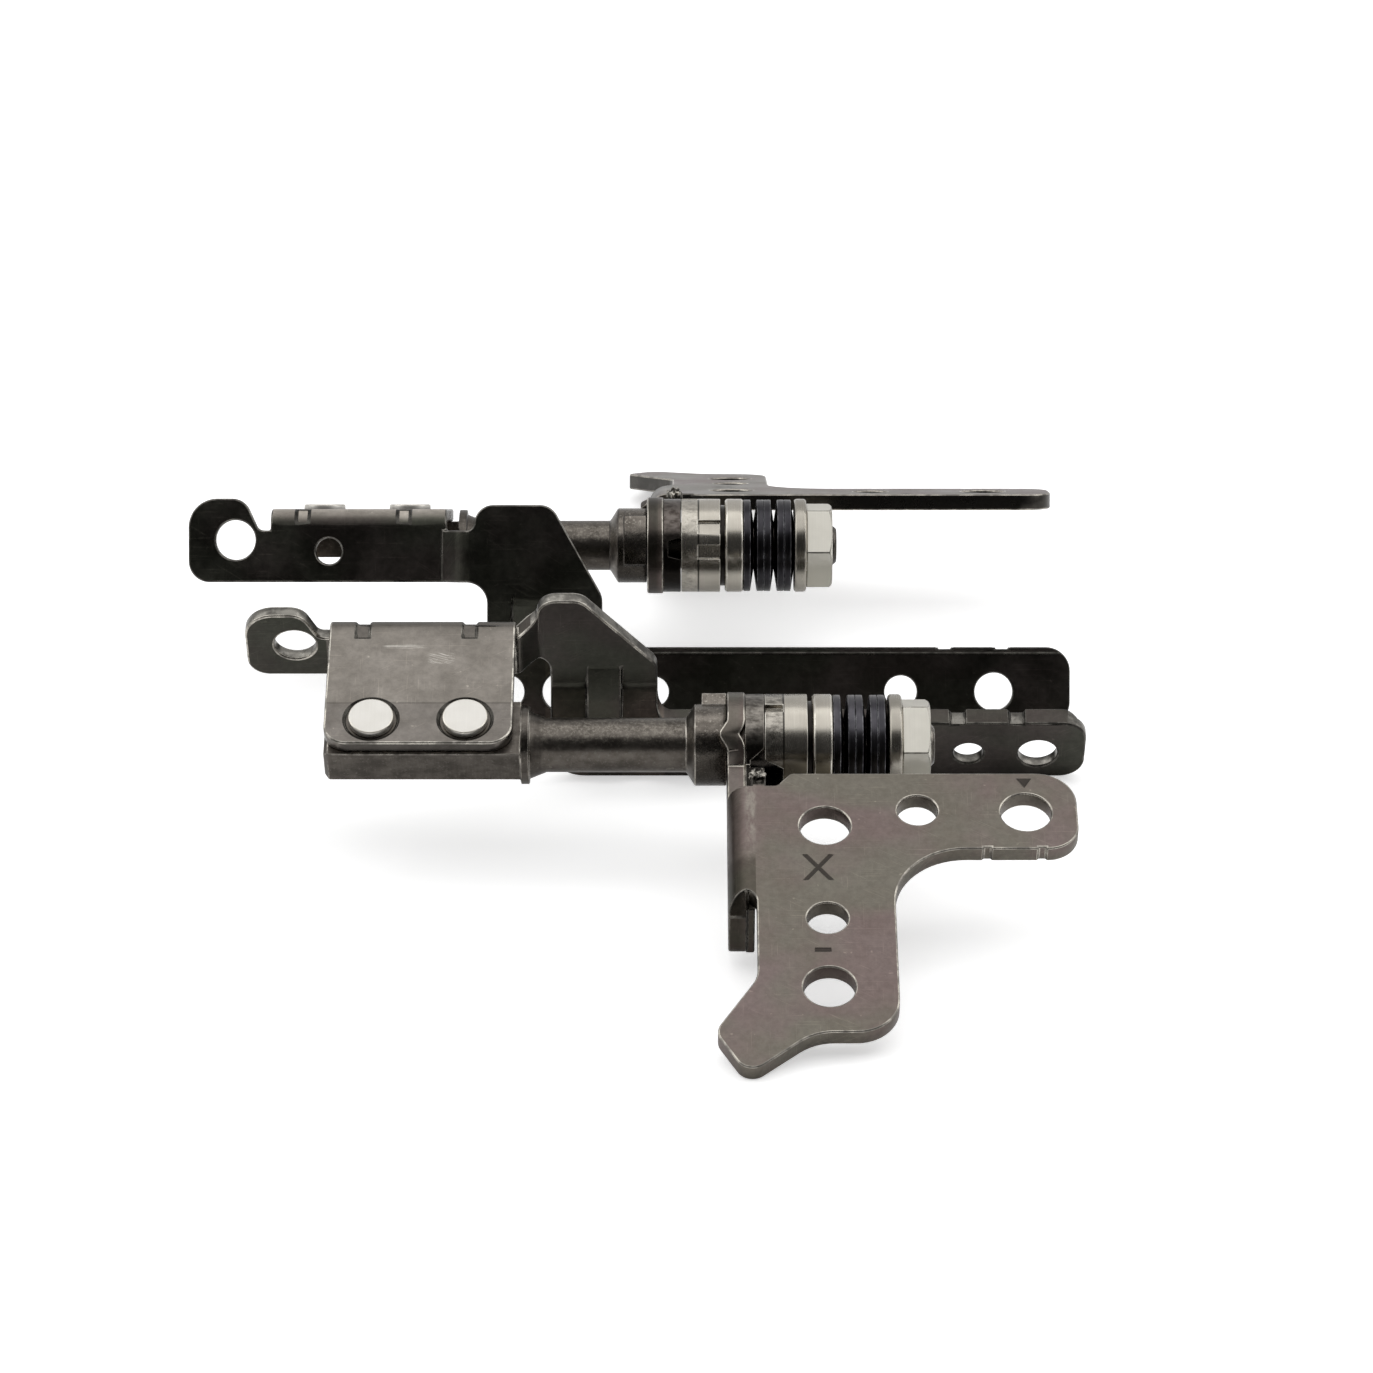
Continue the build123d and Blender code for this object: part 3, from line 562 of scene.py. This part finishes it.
for side, (dull, bright, low_shade) in RIM_SHADES.items():
    base_rim[side] = rim_finish(
        f"{side}_base_rim", (0.2, 0.185, 0.165), (0.5, 0.467, 0.41), wear_and_painted_light=hook_shade_and_tongue_grease(side)
    )
    display_rim[side] = rim_finish(f"{side}_display_rim", dull, bright, wear_and_painted_light=rim_painted_shade(side, low_shade))
    sheared_edge[side] = rim_finish(
        f"{side}_sheared_edge", (0.08, 0.076, 0.068), (0.23, 0.219, 0.197), size=0.8, wear_and_painted_light=top_edge_highlight(side)
    )
shaded_edge = rim_finish("shaded_edge", (0.05, 0.046, 0.041), (0.075, 0.07, 0.062), size=0.6)
print("finishes for", len(base_sheet), "base plates and", len(display_sheet), "display brackets")

# %% [markdown]
# ## Shaft
#
# The shaft is one forged and turned piece of dark steel. Its block is brushed across, its rod is
# blotchy brown with worn specks, and its collar rubs in grease, so it is lumpy; painted shade makes it black
# underneath.
# One finish covers all three: distances from the cam's face say which part a point is on.

# %% Shaft finish
def shaft_finish(side):
    finish = Finish(bpy.data.materials.new(f"{side}_shaft_steel"))
    from_cam = finish.along(X_AXIS, cam_face[side])
    rise_mm = finish.along(Z_AXIS, shaft_axis[side])
    collar = from_cam.step(-4.15, -4.0)
    rod = from_cam.step(-13.2, -13.0) * (1 - collar)
    blotch = finish.noise((0.7, 1.1, 1.1), detail=5.0, roughness=0.68).step(0.34, 0.66)
    speck = finish.noise((5.5, 5.5, 5.5), detail=3.0, roughness=0.7)
    lumps = finish.noise((1.9, 1.9, 1.9), detail=4.0, roughness=0.6)
    brushed = finish.noise((13.0, 0.5, 0.5), detail=3.0)
    colour = finish.blend(blotch, (0.068, 0.06, 0.052), (0.125, 0.112, 0.098))
    colour = finish.tinted(rod, colour, grey(1.25))
    colour = finish.tinted(1 - rod, colour, finish.blend(brushed.step(0.3, 0.7), grey(0.92), grey(1.08)))
    top = rod * rise_mm.near(1.35, 0.35, 0.4) * speck.step(0.47, 0.6)
    low = rod * rise_mm.near(-1.0, 0.25, 0.5) * lumps.step(0.56, 0.68)
    colour = finish.blend((top * 0.42).most(low * 0.45), colour, (0.3, 0.275, 0.235))
    colour = finish.blend(speck.step(0.56, 0.68) * (0.3 + 0.4 * collar), colour, (0.27, 0.25, 0.22))
    # Painted shade on the collar's underside, broken up by grease lumps.
    below = 1 - (rise_mm + lumps).step(0.5, 1.9)
    colour = finish.tinted(collar, colour, grey(1.6))
    colour = finish.blend(collar * below * 0.8, colour, (0.034, 0.03, 0.026))
    roughness = 0.33 + 0.25 * (speck - 0.5) - 0.06 * collar
    height = 0.4 * speck + 3.0 * collar * lumps + 0.08 * brushed * (1 - rod)
    return finish.metal(colour, roughness, height)


shaft_steel = {side: shaft_finish(side) for side in ("left", "right")}
print(len(shaft_steel), "shafts dressed")

# %% [markdown]
# ## Cams, washers and springs
#
# The pieces on the stud were turned, so their marks run round the axis. Noise that changes
# quickly along X and hardly at all across it draws such rings. The cams work against each other
# in grease: worn, lumpy and, with painted shade, black underneath. The washers are bright nickel,
# the spring discs blue-black, the nut pale; painted shade and oil darken all three underneath.

# %% Turned finishes
def turned_finish(name, side, dark, light, roughness, rings_mm=0.2, oil_and_shade=None, worn=None):
    """Turned metal; oil_and_shade is painted shade on its underside mixed with grease, worn says where it is
    lumpy, how dark and how much of that shade it lifts.
    """
    finish = Finish(bpy.data.materials.new(f"{side}_{name}"))
    rings = finish.noise((14.0, 0.25, 0.25), detail=3.0, roughness=0.65)
    cloud = finish.noise((0.5, 0.5, 0.5), detail=3.0)
    speck = finish.noise((5.0, 5.0, 5.0), detail=3.0, roughness=0.7)
    colour = finish.blend(0.25 * rings.step(0.3, 0.7) + 0.5 * cloud.step(0.35, 0.65), dark, light)
    gloss = roughness + 0.1 * (cloud - 0.5) + 0.05 * (rings - 0.5)
    height = rings_mm * rings + 0.3 * speck
    if worn is not None:
        where, shades, shade_lifted = worn
        mask = where(finish)
        lumps = finish.noise((1.6, 2.6, 2.6), detail=4.0, roughness=0.6)
        steel = finish.blend(lumps.step(0.32, 0.66), *shades)
        steel = finish.tinted(speck.step(0.5, 0.66) * 0.5, steel, grey(0.5))
        colour = finish.blend(mask, colour, steel)
        height = height + 2.4 * mask * lumps
        joint = finish.along(X_AXIS, cam_face[side]).near(1.1, 0.035, 0.04)
        colour = finish.tinted(joint * 0.9, colour, grey(0.1))
    # Painted shade on the underside, darker towards the bottom, mixed with oil and grease.
    if oil_and_shade is not None:
        amount, tone, low, high = oil_and_shade
        smear = finish.noise((0.6, 0.9, 0.9), detail=3.0).step(0.3, 0.6)
        below = 1 - (finish.along(Z_AXIS, shaft_axis[side]) + 0.5 * smear).step(low, high)
        if worn is not None:
            below = below * (1 - shade_lifted * mask)
        colour = finish.blend(below * amount, colour, tone)
    return finish.metal(colour, gloss, height)


def everywhere(finish):
    return 1.0


def lobe_ring(side):
    """The ring of the moving cam that faces the fixed cam."""
    return lambda finish: 1 - finish.along(X_AXIS, cam_face[side]).step(1.05, 1.15)


print("turned finish ready")

# %% [markdown]
# ### One finish for each piece on the stud
#
# The left stack is dark underneath with painted shade and oil, and its spring discs are black below;
# the right stack has little of it. Only shades and the height of that shade differ, so one loop makes both.

# %% Finishes of the stack
# Colours of the painted shade on the stack's undersides, mixed with grease and oil.
BLACK_GREASE_SHADE = (0.012, 0.0105, 0.009)
BROWN_OIL_SHADE = (0.115, 0.097, 0.062)
NICKEL = (0.46, 0.43, 0.375), (0.59, 0.555, 0.49)
DULL_NICKEL = (0.36, 0.336, 0.292), (0.46, 0.432, 0.38)
NUT_NICKEL = (0.68, 0.655, 0.585), (0.78, 0.755, 0.68)
RIVET_NICKEL = (0.68, 0.66, 0.615), (0.78, 0.76, 0.72)
SHIM_STEEL = (0.02, 0.018, 0.016), (0.045, 0.04, 0.036)
SPRING = (0.028, 0.027, 0.031), (0.075, 0.072, 0.08)
CAM_STEEL = {
    "left": ((0.09, 0.081, 0.071), (0.27, 0.249, 0.221)),
    "right": ((0.06, 0.049, 0.043), (0.16, 0.14, 0.127)),
}
LOBE_STEEL = {
    "left": ((0.2, 0.185, 0.162), (0.5, 0.468, 0.415)),
    "right": ((0.4, 0.374, 0.327), (0.58, 0.545, 0.48)),
}
turned = {}
for side, oil_and_shade, black, spring_tone, grease_shade_line in (
    ("left", 0.9, 0.95, 1.6, (1.45, 2.5)),
    ("right", 0.08, 0.2, 1.0, (0.9, 2.1)),
):
    # Painted shade with oil on the undersides; heights in millimetres above the axis.
    washer_oil_shade = (oil_and_shade, BROWN_OIL_SHADE, 0.5, 1.8)
    cam_oil_shade = (oil_and_shade, (0.07, 0.058, 0.036), 0.6, 1.7)
    nut_oil_shade = (0.5, (0.26, 0.245, 0.19), -0.2, 1.0)
    spring_shades = [[channel * spring_tone for channel in tone] for tone in SPRING]
    spring_grease_shade = (black, BLACK_GREASE_SHADE, 0.8, 2.3)
    spring = turned_finish("spring_steel", side, *spring_shades, 0.31, oil_and_shade=spring_grease_shade)
    turned[side] = {
        "shaft": shaft_steel[side],
        "fixed_cam": turned_finish(
            "fixed_cam_steel",
            side,
            *NICKEL,
            0.3,
            oil_and_shade=(0.97, BLACK_GREASE_SHADE, *grease_shade_line),
            worn=(everywhere, CAM_STEEL[side], 0.0),
        ),
        "moving_cam": turned_finish(
            "moving_cam_steel",
            side,
            *NICKEL,
            0.26,
            oil_and_shade=cam_oil_shade,
            worn=(lobe_ring(side), LOBE_STEEL[side], 0.4),
        ),
        "shim": turned_finish("shim_steel", side, *SHIM_STEEL, 0.3),
        "friction_washer": turned_finish("washer_nickel", side, *NICKEL, 0.25, oil_and_shade=washer_oil_shade),
        "end_washer": turned_finish("end_washer_nickel", side, *DULL_NICKEL, 0.27),
        "nut": turned_finish("nut_nickel", side, *NUT_NICKEL, 0.36, oil_and_shade=nut_oil_shade),
        "rivets": turned_finish("rivet_nickel", side, *RIVET_NICKEL, 0.46, 0.06),
    }
    for number in range(1, 6):
        turned[side][f"spring_disc_{number}"] = spring
dark_rim = {
    "left": rim_finish("left_dark_rim", (0.13, 0.118, 0.105), (0.4, 0.372, 0.33)),
    "right": rim_finish("right_dark_rim", (0.05, 0.045, 0.04), (0.1, 0.09, 0.08)),
}
# Darker than the nut: painted shade along the nut's edges.
nut_shaded_rim = rim_finish("nut_shaded_rim", (0.3, 0.287, 0.253), (0.5, 0.48, 0.43))
nickel_rim = rim_finish("nickel_rim", (0.55, 0.52, 0.46), (0.74, 0.71, 0.64))
spring_rim = rim_finish("spring_rim", (0.04, 0.04, 0.045), (0.17, 0.168, 0.178), size=2.6)
print(sum(len(finishes) for finishes in turned.values()), "turned pieces have a finish")

# %% [markdown]
# ## Broken edges
#
# No real edge is perfectly sharp: a press or a tumbling drum rounds it by about a tenth of a
# millimetre, and that thin band catches the light all round the part. A bevel modifier could do
# it, but it makes every band as narrow as the narrowest face allows. So the bevel runs without
# that limit, and the next helpers clear up after it.
#
# Where an edge fades into a bend, the bevel finds no room and throws a corner out as a spike.
# Every point that has left the solid's skin is therefore merged into its nearest neighbour that
# has stayed on it.

# %% Pull in spikes
def edge_points(edges, spacing):
    """Search tree over points set along edges."""
    points = []
    for edge in edges:
        start, end = (vertex.co for vertex in edge.verts)
        count = max(1, math.ceil((end - start).length / spacing))
        points += [start.lerp(end, i / count) for i in range(count + 1)]
    tree = KDTree(len(points))
    for i, point in enumerate(points):
        tree.insert(point, i)
    tree.balance()
    return tree


def pull_in_spikes(shape, rounded, skin, edges, width):
    """Merge each new point that left the skin or its edge into a joined point that didn't."""
    off = {
        vertex
        for vertex in rounded
        if skin.find_nearest(vertex.co)[3] > 0.6 * width or edges.find(vertex.co)[2] > 1.8 * width
    }
    targets = {}
    for vertex in off:
        seen, ring = {vertex}, [vertex]
        while ring:
            ring = [edge.other_vert(point) for point in ring for edge in point.link_edges]
            ring = [point for point in dict.fromkeys(ring) if point not in seen]
            seen.update(ring)
            good = [point for point in ring if point not in off]
            if good:
                targets[vertex] = min(good, key=lambda point: (point.co - vertex.co).length)
                break
    bmesh.ops.weld_verts(shape, targetmap=targets)
    return len(targets)


print("spike helper ready")

# %% [markdown]
# ### Flat faces filled anew
#
# Moving the corners of a flat face can leave its outline crossing itself, and a crossed outline
# shows as a hole. Each flat region is therefore emptied and filled again from the rings round
# it: the outer one and one for each hole.

# %% Refill flat regions
def flat_region(seed):
    """The faces joined to a seed face that lie in one plane with it."""
    region, edge_of_search = {seed}, [seed]
    while edge_of_search:
        for edge in edge_of_search.pop().edges:
            for other in edge.link_faces:
                level = other.normal.dot(seed.normal) > 0.9998
                if level and other.material_index == seed.material_index and other not in region:
                    region.add(other)
                    edge_of_search.append(other)
    return region


def closed_rings(region):
    """The closed rings of points round a region, each with the region on its left."""
    onward = {}
    for face in region:
        for loop in face.loops:
            if sum(other in region for other in loop.edge.link_faces) == 1:
                onward.setdefault(loop.vert, []).append(loop.link_loop_next.vert)
    rings = []
    while onward:
        ring = [next(iter(onward))]
        while ring[-1] in onward:
            here = ring[-1]
            vertex = onward[here].pop()
            if not onward[here]:
                del onward[here]
            if vertex == ring[0]:
                break
            ring.append(vertex)
        rings.append(ring)
    return rings


def refill_flats(shape):
    """Fill each flat region anew from its rings, so that no face folds over itself."""
    shape.normal_update()
    todo = {face for face in shape.faces if face.material_index != 1 and len(face.verts) > 4}
    while todo:
        seed = max(todo, key=lambda face: face.calc_area())
        region = flat_region(seed)
        todo -= region
        normal, finish_index = seed.normal.copy(), seed.material_index
        across = normal.orthogonal().normalized()
        along, level = normal.cross(across), seed.calc_center_median().dot(normal)
        rings = closed_rings(region)
        corners = list(dict.fromkeys(vertex for ring in rings for vertex in ring))
        number = {vertex: i for i, vertex in enumerate(corners)}
        flat = [(vertex.co.dot(across) / MM, vertex.co.dot(along) / MM) for vertex in corners]
        numbered = [[number[vertex] for vertex in ring] for ring in rings]
        points, lines, outlines, origins, *others = delaunay_2d_cdt(flat, [], numbered, 5, 1e-6)
        bmesh.ops.delete(shape, geom=list(region), context="FACES_KEEP_BOUNDARY")
        placed = []
        for point, origin in zip(points, origins):
            if origin:
                placed.append(corners[origin[0]])
            else:
                spot = (across * point[0] + along * point[1]) * MM + normal * level
                placed.append(shape.verts.new(spot))
        for outline in outlines:
            ring = list(dict.fromkeys(placed[i] for i in outline))
            if len(ring) < 3 or shape.faces.get(ring):
                continue
            face = shape.faces.new(ring)
            face.normal_update()
            if face.normal.dot(normal) < 0:
                face.normal_flip()
            face.material_index = finish_index


print("refill helper ready")

# %% [markdown]
# ### Darts in the tab's bend
#
# Two short darts are pressed into the bend to stiffen it, and they run out onto the tab. They
# are too shallow to matter for the part's strength, but they catch the eye. A box is sunk into
# the sheet for each and taken away with a boolean.

# %% Press the darts
def pressed(shape, cutter):
    """The shape less the cutter's boxes."""
    meshes = [bpy.data.meshes.new("blank"), cutter]
    shape.to_mesh(meshes[0])
    shape.free()
    blank, tool = (bpy.data.objects.new(mesh.name, mesh) for mesh in meshes)
    for holder in (blank, tool):
        scene.collection.objects.link(holder)
    cut = blank.modifiers.new("press", "BOOLEAN")
    cut.operation = "DIFFERENCE"
    cut.solver = "EXACT"
    cut.object = tool
    view = bpy.context.evaluated_depsgraph_get()
    result = bmesh.new()
    result.from_object(blank, view)
    for holder in (blank, tool):
        bpy.data.objects.remove(holder)
    return result


def dart_cutter(side):
    """Two flat boxes that reach from the bend a little way over the tab."""
    out, up = display_out[side], display_up[side]
    outline = frame["nodes"][f"{side}_display_bracket"].data.vertices
    points = [vertex.co - rivet_middle[side] for vertex in outline]
    tab_top = max(point.dot(up) for point in points if abs(point.x) < 4 * MM) / MM
    boxes = bmesh.new()
    for place in DART_PLACES:
        for vertex in bmesh.ops.create_cube(boxes, size=1)["verts"]:
            across = place + DART_WIDTH * vertex.co.x
            back = 7.05 + 1.3 * vertex.co.y
            high = tab_top + 0.12 + 0.5 * vertex.co.z
            vertex.co = rivet_middle[side] + (X_AXIS * across + out * back + up * high) * MM
    mesh = bpy.data.meshes.new(f"{side}_dart_cutter")
    boxes.to_mesh(mesh)
    boxes.free()
    return mesh


print("dart helper ready")

# %% [markdown]
# ### Sheared edges
#
# The press leaves the edge of a sheet rougher and duller than its faces. Two tests tell such an
# edge from a face by the way it looks and by how deep it is.

# %% Tell sheared edges from faces
def cut_edge(side):
    """Says whether a face of the display bracket is the sheared edge of its sheet."""
    out = display_out[side]

    def test(face):
        if abs(face.normal.dot(out)) > 0.5:
            return False
        if abs(face.calc_center_median().x - rivet_middle[side].x) < 5.7 * MM:
            return abs(face.normal.x) > 0.7
        depth = [vertex.co.dot(out) for vertex in face.verts]
        return max(depth) - min(depth) < 1.2 * MM

    return test


def plate_edge(side):
    """Says whether a face of the base bracket is the outer edge of its plate."""

    def test(face):
        place = face.calc_center_median() - plate_screws[side]
        on_flange = place.x < -4.4 * MM and place.dot(plate_front[side]) < 3 * MM
        return not on_flange and abs(face.normal.dot(plate_up[side])) < 0.5

    return test


print("edge tests ready")

# %% [markdown]
# ### Softened copies
#
# Each solid is copied, its flat faces are merged so that only true edges remain, and the bevel
# breaks those edges. The band gets a finish of its own, so it can be brighter than the face
# beside it. Weighted normals keep the flat faces flat to the eye.

# %% Soften one solid
SAME_PLANE = math.radians(0.3)
SHARP = math.radians(32)


def soften(node, width_mm, finishes, edge_face=None, cutter=None):
    """Copy of a solid with broken edges: finishes of its faces, its rims and its cut edges."""
    solid = frame["nodes"][node]
    shape = bmesh.new()
    shape.from_mesh(solid.data)
    bmesh.ops.remove_doubles(shape, verts=shape.verts, dist=1e-7)
    if cutter is not None:
        shape = pressed(shape, cutter)
    skin = BVHTree.FromBMesh(shape)
    bmesh.ops.dissolve_limit(shape, angle_limit=SAME_PLANE, verts=shape.verts, edges=shape.edges)
    for face in shape.faces:
        face.smooth = True
        face.material_index = 2 if edge_face and edge_face(face) else 0
    sharp = [edge for edge in shape.edges if edge.is_manifold and edge.calc_face_angle() > SHARP]
    edges = edge_points(sharp, width_mm * MM)
    bevel = bmesh.ops.bevel(
        shape,
        geom=sharp,
        offset=width_mm * MM,
        offset_type="OFFSET",
        segments=2,
        profile=0.5,
        affect="EDGES",
        clamp_overlap=False,
        loop_slide=False,
        material=1,
    )
    pulled = pull_in_spikes(shape, bevel["verts"], skin, edges, width_mm * MM)
    refill_flats(shape)
    for face in shape.faces:
        face.smooth = True
    draft_mesh = bpy.data.meshes.new(f"{node}_draft")
    shape.to_mesh(draft_mesh)
    shape.free()
    for finish in finishes:
        draft_mesh.materials.append(finish)
    draft = bpy.data.objects.new(f"{node}_draft", draft_mesh)
    scene.collection.objects.link(draft)
    flat = draft.modifiers.new("flat_faces", "WEIGHTED_NORMAL")
    flat.mode = "FACE_AREA"
    flat.weight = 100
    view = bpy.context.evaluated_depsgraph_get()
    finished = bpy.data.meshes.new_from_object(draft.evaluated_get(view))
    bpy.data.objects.remove(draft)
    piece = bpy.data.objects.new(f"{node}_soft", finished)
    scene.collection.objects.link(piece)
    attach(piece, solid["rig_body"])
    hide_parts(node)
    return piece, pulled


print("softening edges sharper than", round(math.degrees(SHARP)), "degrees")

# %% [markdown]
# ### All pieces
#
# Every solid is replaced by its softened copy, with the width that suits the piece: wide on the
# pressed sheet, narrow on thin rings.

# %% Soften every solid
widths = {"shaft": 0.06, "rivets": 0.08, "shim": 0.03, "nut": 0.06}
pieces = {}
spikes = 0
for side in ("left", "right"):
    rims = {"shaft": dark_rim[side], "fixed_cam": dark_rim[side], "shim": spring_rim, "nut": nut_shaded_rim}
    base_looks = (base_sheet[side], base_rim[side], base_sheet["left"] if side == "left" else shaded_edge)
    display_looks = (display_sheet[side], display_rim[side], sheared_edge[side])
    made = {f"{side}_base_bracket": soften(f"{side}_base_bracket", 0.1, base_looks, plate_edge(side))}
    made[f"{side}_display_bracket"] = soften(
        f"{side}_display_bracket", 0.12, display_looks, cut_edge(side), dart_cutter(side)
    )
    for piece_name, finish in turned[side].items():
        rim = spring_rim if piece_name.startswith("spring") else rims.get(piece_name, nickel_rim)
        node = f"{side}_{piece_name}"
        made[node] = soften(node, widths.get(piece_name, 0.05), (finish, rim))
    pieces.update({node: piece for node, (piece, pulled) in made.items()})
    spikes += sum(pulled for piece, pulled in made.values())
faces = sum(len(piece.data.polygons) for piece in pieces.values())
print(len(pieces), "pieces with broken edges,", faces, "faces,", spikes, "spikes pulled in")

# %% [markdown]
# ## Torn burr
#
# Where the press sheared the tongue off, the sheet tore instead of cutting and left a ragged crumb
# of bright metal, coloured dark where its folds sink. A ball of points is pushed in and out by noise,
# twice: coarsely for the crumb's shape and finely for its torn skin.

# %% Burr on each tongue
def burr_finish():
    finish = Finish(bpy.data.materials.new("torn_steel"))
    folds = finish.noise((3.2, 3.2, 3.2), detail=3.0, roughness=0.6)
    colour = finish.blend(folds.step(0.42, 0.62), (0.03, 0.027, 0.023), (0.58, 0.55, 0.49))
    return finish.metal(colour, 0.3 + 0.2 * folds, folds, 0.02)


torn_steel = burr_finish()
for side in ("left", "right"):
    crumb = bmesh.new()
    bmesh.ops.create_icosphere(crumb, subdivisions=4, radius=1.0)
    for vertex in crumb.verts:
        ray = vertex.co.normalized()
        size = 0.86 + 0.32 * noise.noise(ray * 2.1) + 0.2 * noise.noise(ray * 6.3)
        across, back, high = 0.52 * size * ray.x, 0.42 * size * ray.y, 0.5 * size * ray.z
        centre = X_AXIS * (across - 3.8) + plate_front[side] * (back - 10.1) + plate_up[side] * (high + 0.5)
        vertex.co = plate_screws[side] + centre * MM
    for face in crumb.faces:
        face.smooth = True
    crumb_mesh = bpy.data.meshes.new(f"{side}_torn_burr")
    crumb.to_mesh(crumb_mesh)
    crumb.free()
    crumb_mesh.materials.append(torn_steel)
    burr = bpy.data.objects.new(f"{side}_torn_burr", crumb_mesh)
    scene.collection.objects.link(burr)
    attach(burr, "bases")
    print(burr.name, len(crumb_mesh.polygons), "faces")

# %% [markdown]
# ## Floor and light
#
# The hinges lie on white paper in a light tent. The paper is white to the camera and in
# reflections, but keeps part of the shadow that the hinges throw. The tent is bright overhead and
# behind, and dark behind the camera, which is why the faces that look at the camera are nearly
# black while those that look up are grey.

# %% Floor
paper = Finish(bpy.data.materials.new("white_paper"))
camera_ray, glossy_ray, through_ray = (
    paper.node("ShaderNodeLightPath", {}, {}, f"Is {ray} Ray") for ray in ("Camera", "Glossy", "Transmission")
)
seen = (0.5 * camera_ray).most(0.08 * glossy_ray).most(0.5 * through_ray)
diffuse = paper.node("ShaderNodeBsdfDiffuse", {}, {"Color": (0.95, 0.95, 0.95, 1)})
own_white = paper.blend(seen, grey(0), grey(1))
glow = paper.node("ShaderNodeEmission", {}, {"Color": own_white, "Strength": 1.0})
both = paper.node("ShaderNodeAddShader", {}, {0: diffuse, 1: glow})
paper.node("ShaderNodeOutputMaterial", {}, {"Surface": both})

sheet = bmesh.new()
bmesh.ops.create_grid(sheet, x_segments=1, y_segments=1, size=1.5)
floor_mesh = bpy.data.meshes.new("paper_floor")
sheet.to_mesh(floor_mesh)
sheet.free()
floor = bpy.data.objects.new("paper_floor", floor_mesh)
floor_mesh.materials.append(paper.owner)
scene.collection.objects.link(floor)
print("paper floor", round(floor.dimensions.x, 1), "m wide")

# %% Light tent
tent = bpy.data.worlds.new("light_tent")
scene.world = tent
sky = Finish(tent)
toward = sky.node("ShaderNodeTexCoord", {}, {}, "Generated")
parts = {name: sky.node("ShaderNodeSeparateXYZ", {}, {0: toward}, name) for name in ("X", "Y", "Z")}
overhead = parts["Z"].step(0.7, 1.0)
behind = parts["Y"].step(-0.2, 0.6)
beside = abs(parts["X"]).step(0.5, 0.95) * parts["Z"].step(0.0, 0.3)
glow = 0.038 + (0.17 * overhead).most(0.6 * behind).most(0.42 * beside)
camera_ray = sky.node("ShaderNodeLightPath", {}, {}, "Is Camera Ray")
through_ray = sky.node("ShaderNodeLightPath", {}, {}, "Is Transmission Ray")
brightness = camera_ray.most(through_ray).most(glow)
cloth = sky.blend(brightness, grey(0), grey(1))
tent_light = sky.node("ShaderNodeBackground", {}, {"Color": cloth, "Strength": 1.0})
sky.node("ShaderNodeOutputWorld", {}, {"Surface": tent_light})


def softbox(name, place, aim, size, watts):
    lamp = bpy.data.lights.new(name, "AREA")
    lamp.shape = "RECTANGLE"
    lamp.size, lamp.size_y = size
    lamp.energy = watts
    holder = bpy.data.objects.new(name, lamp)
    holder.location = place
    holder.rotation_euler = (Vector(aim) - Vector(place)).to_track_quat("-Z", "Y").to_euler()
    scene.collection.objects.link(holder)
    return holder


softbox("overhead_softbox", (0.0, -0.03, 0.7), (0, -0.03, 0), (1.0, 0.78), 2.4)
for name, beside_x in (("left_softbox", -0.6), ("right_softbox", 0.6)):
    softbox(name, (beside_x, 0.05, 0.45), (0, 0, 0), (0.6, 0.6), 1.36)
print("light tent with three softboxes")
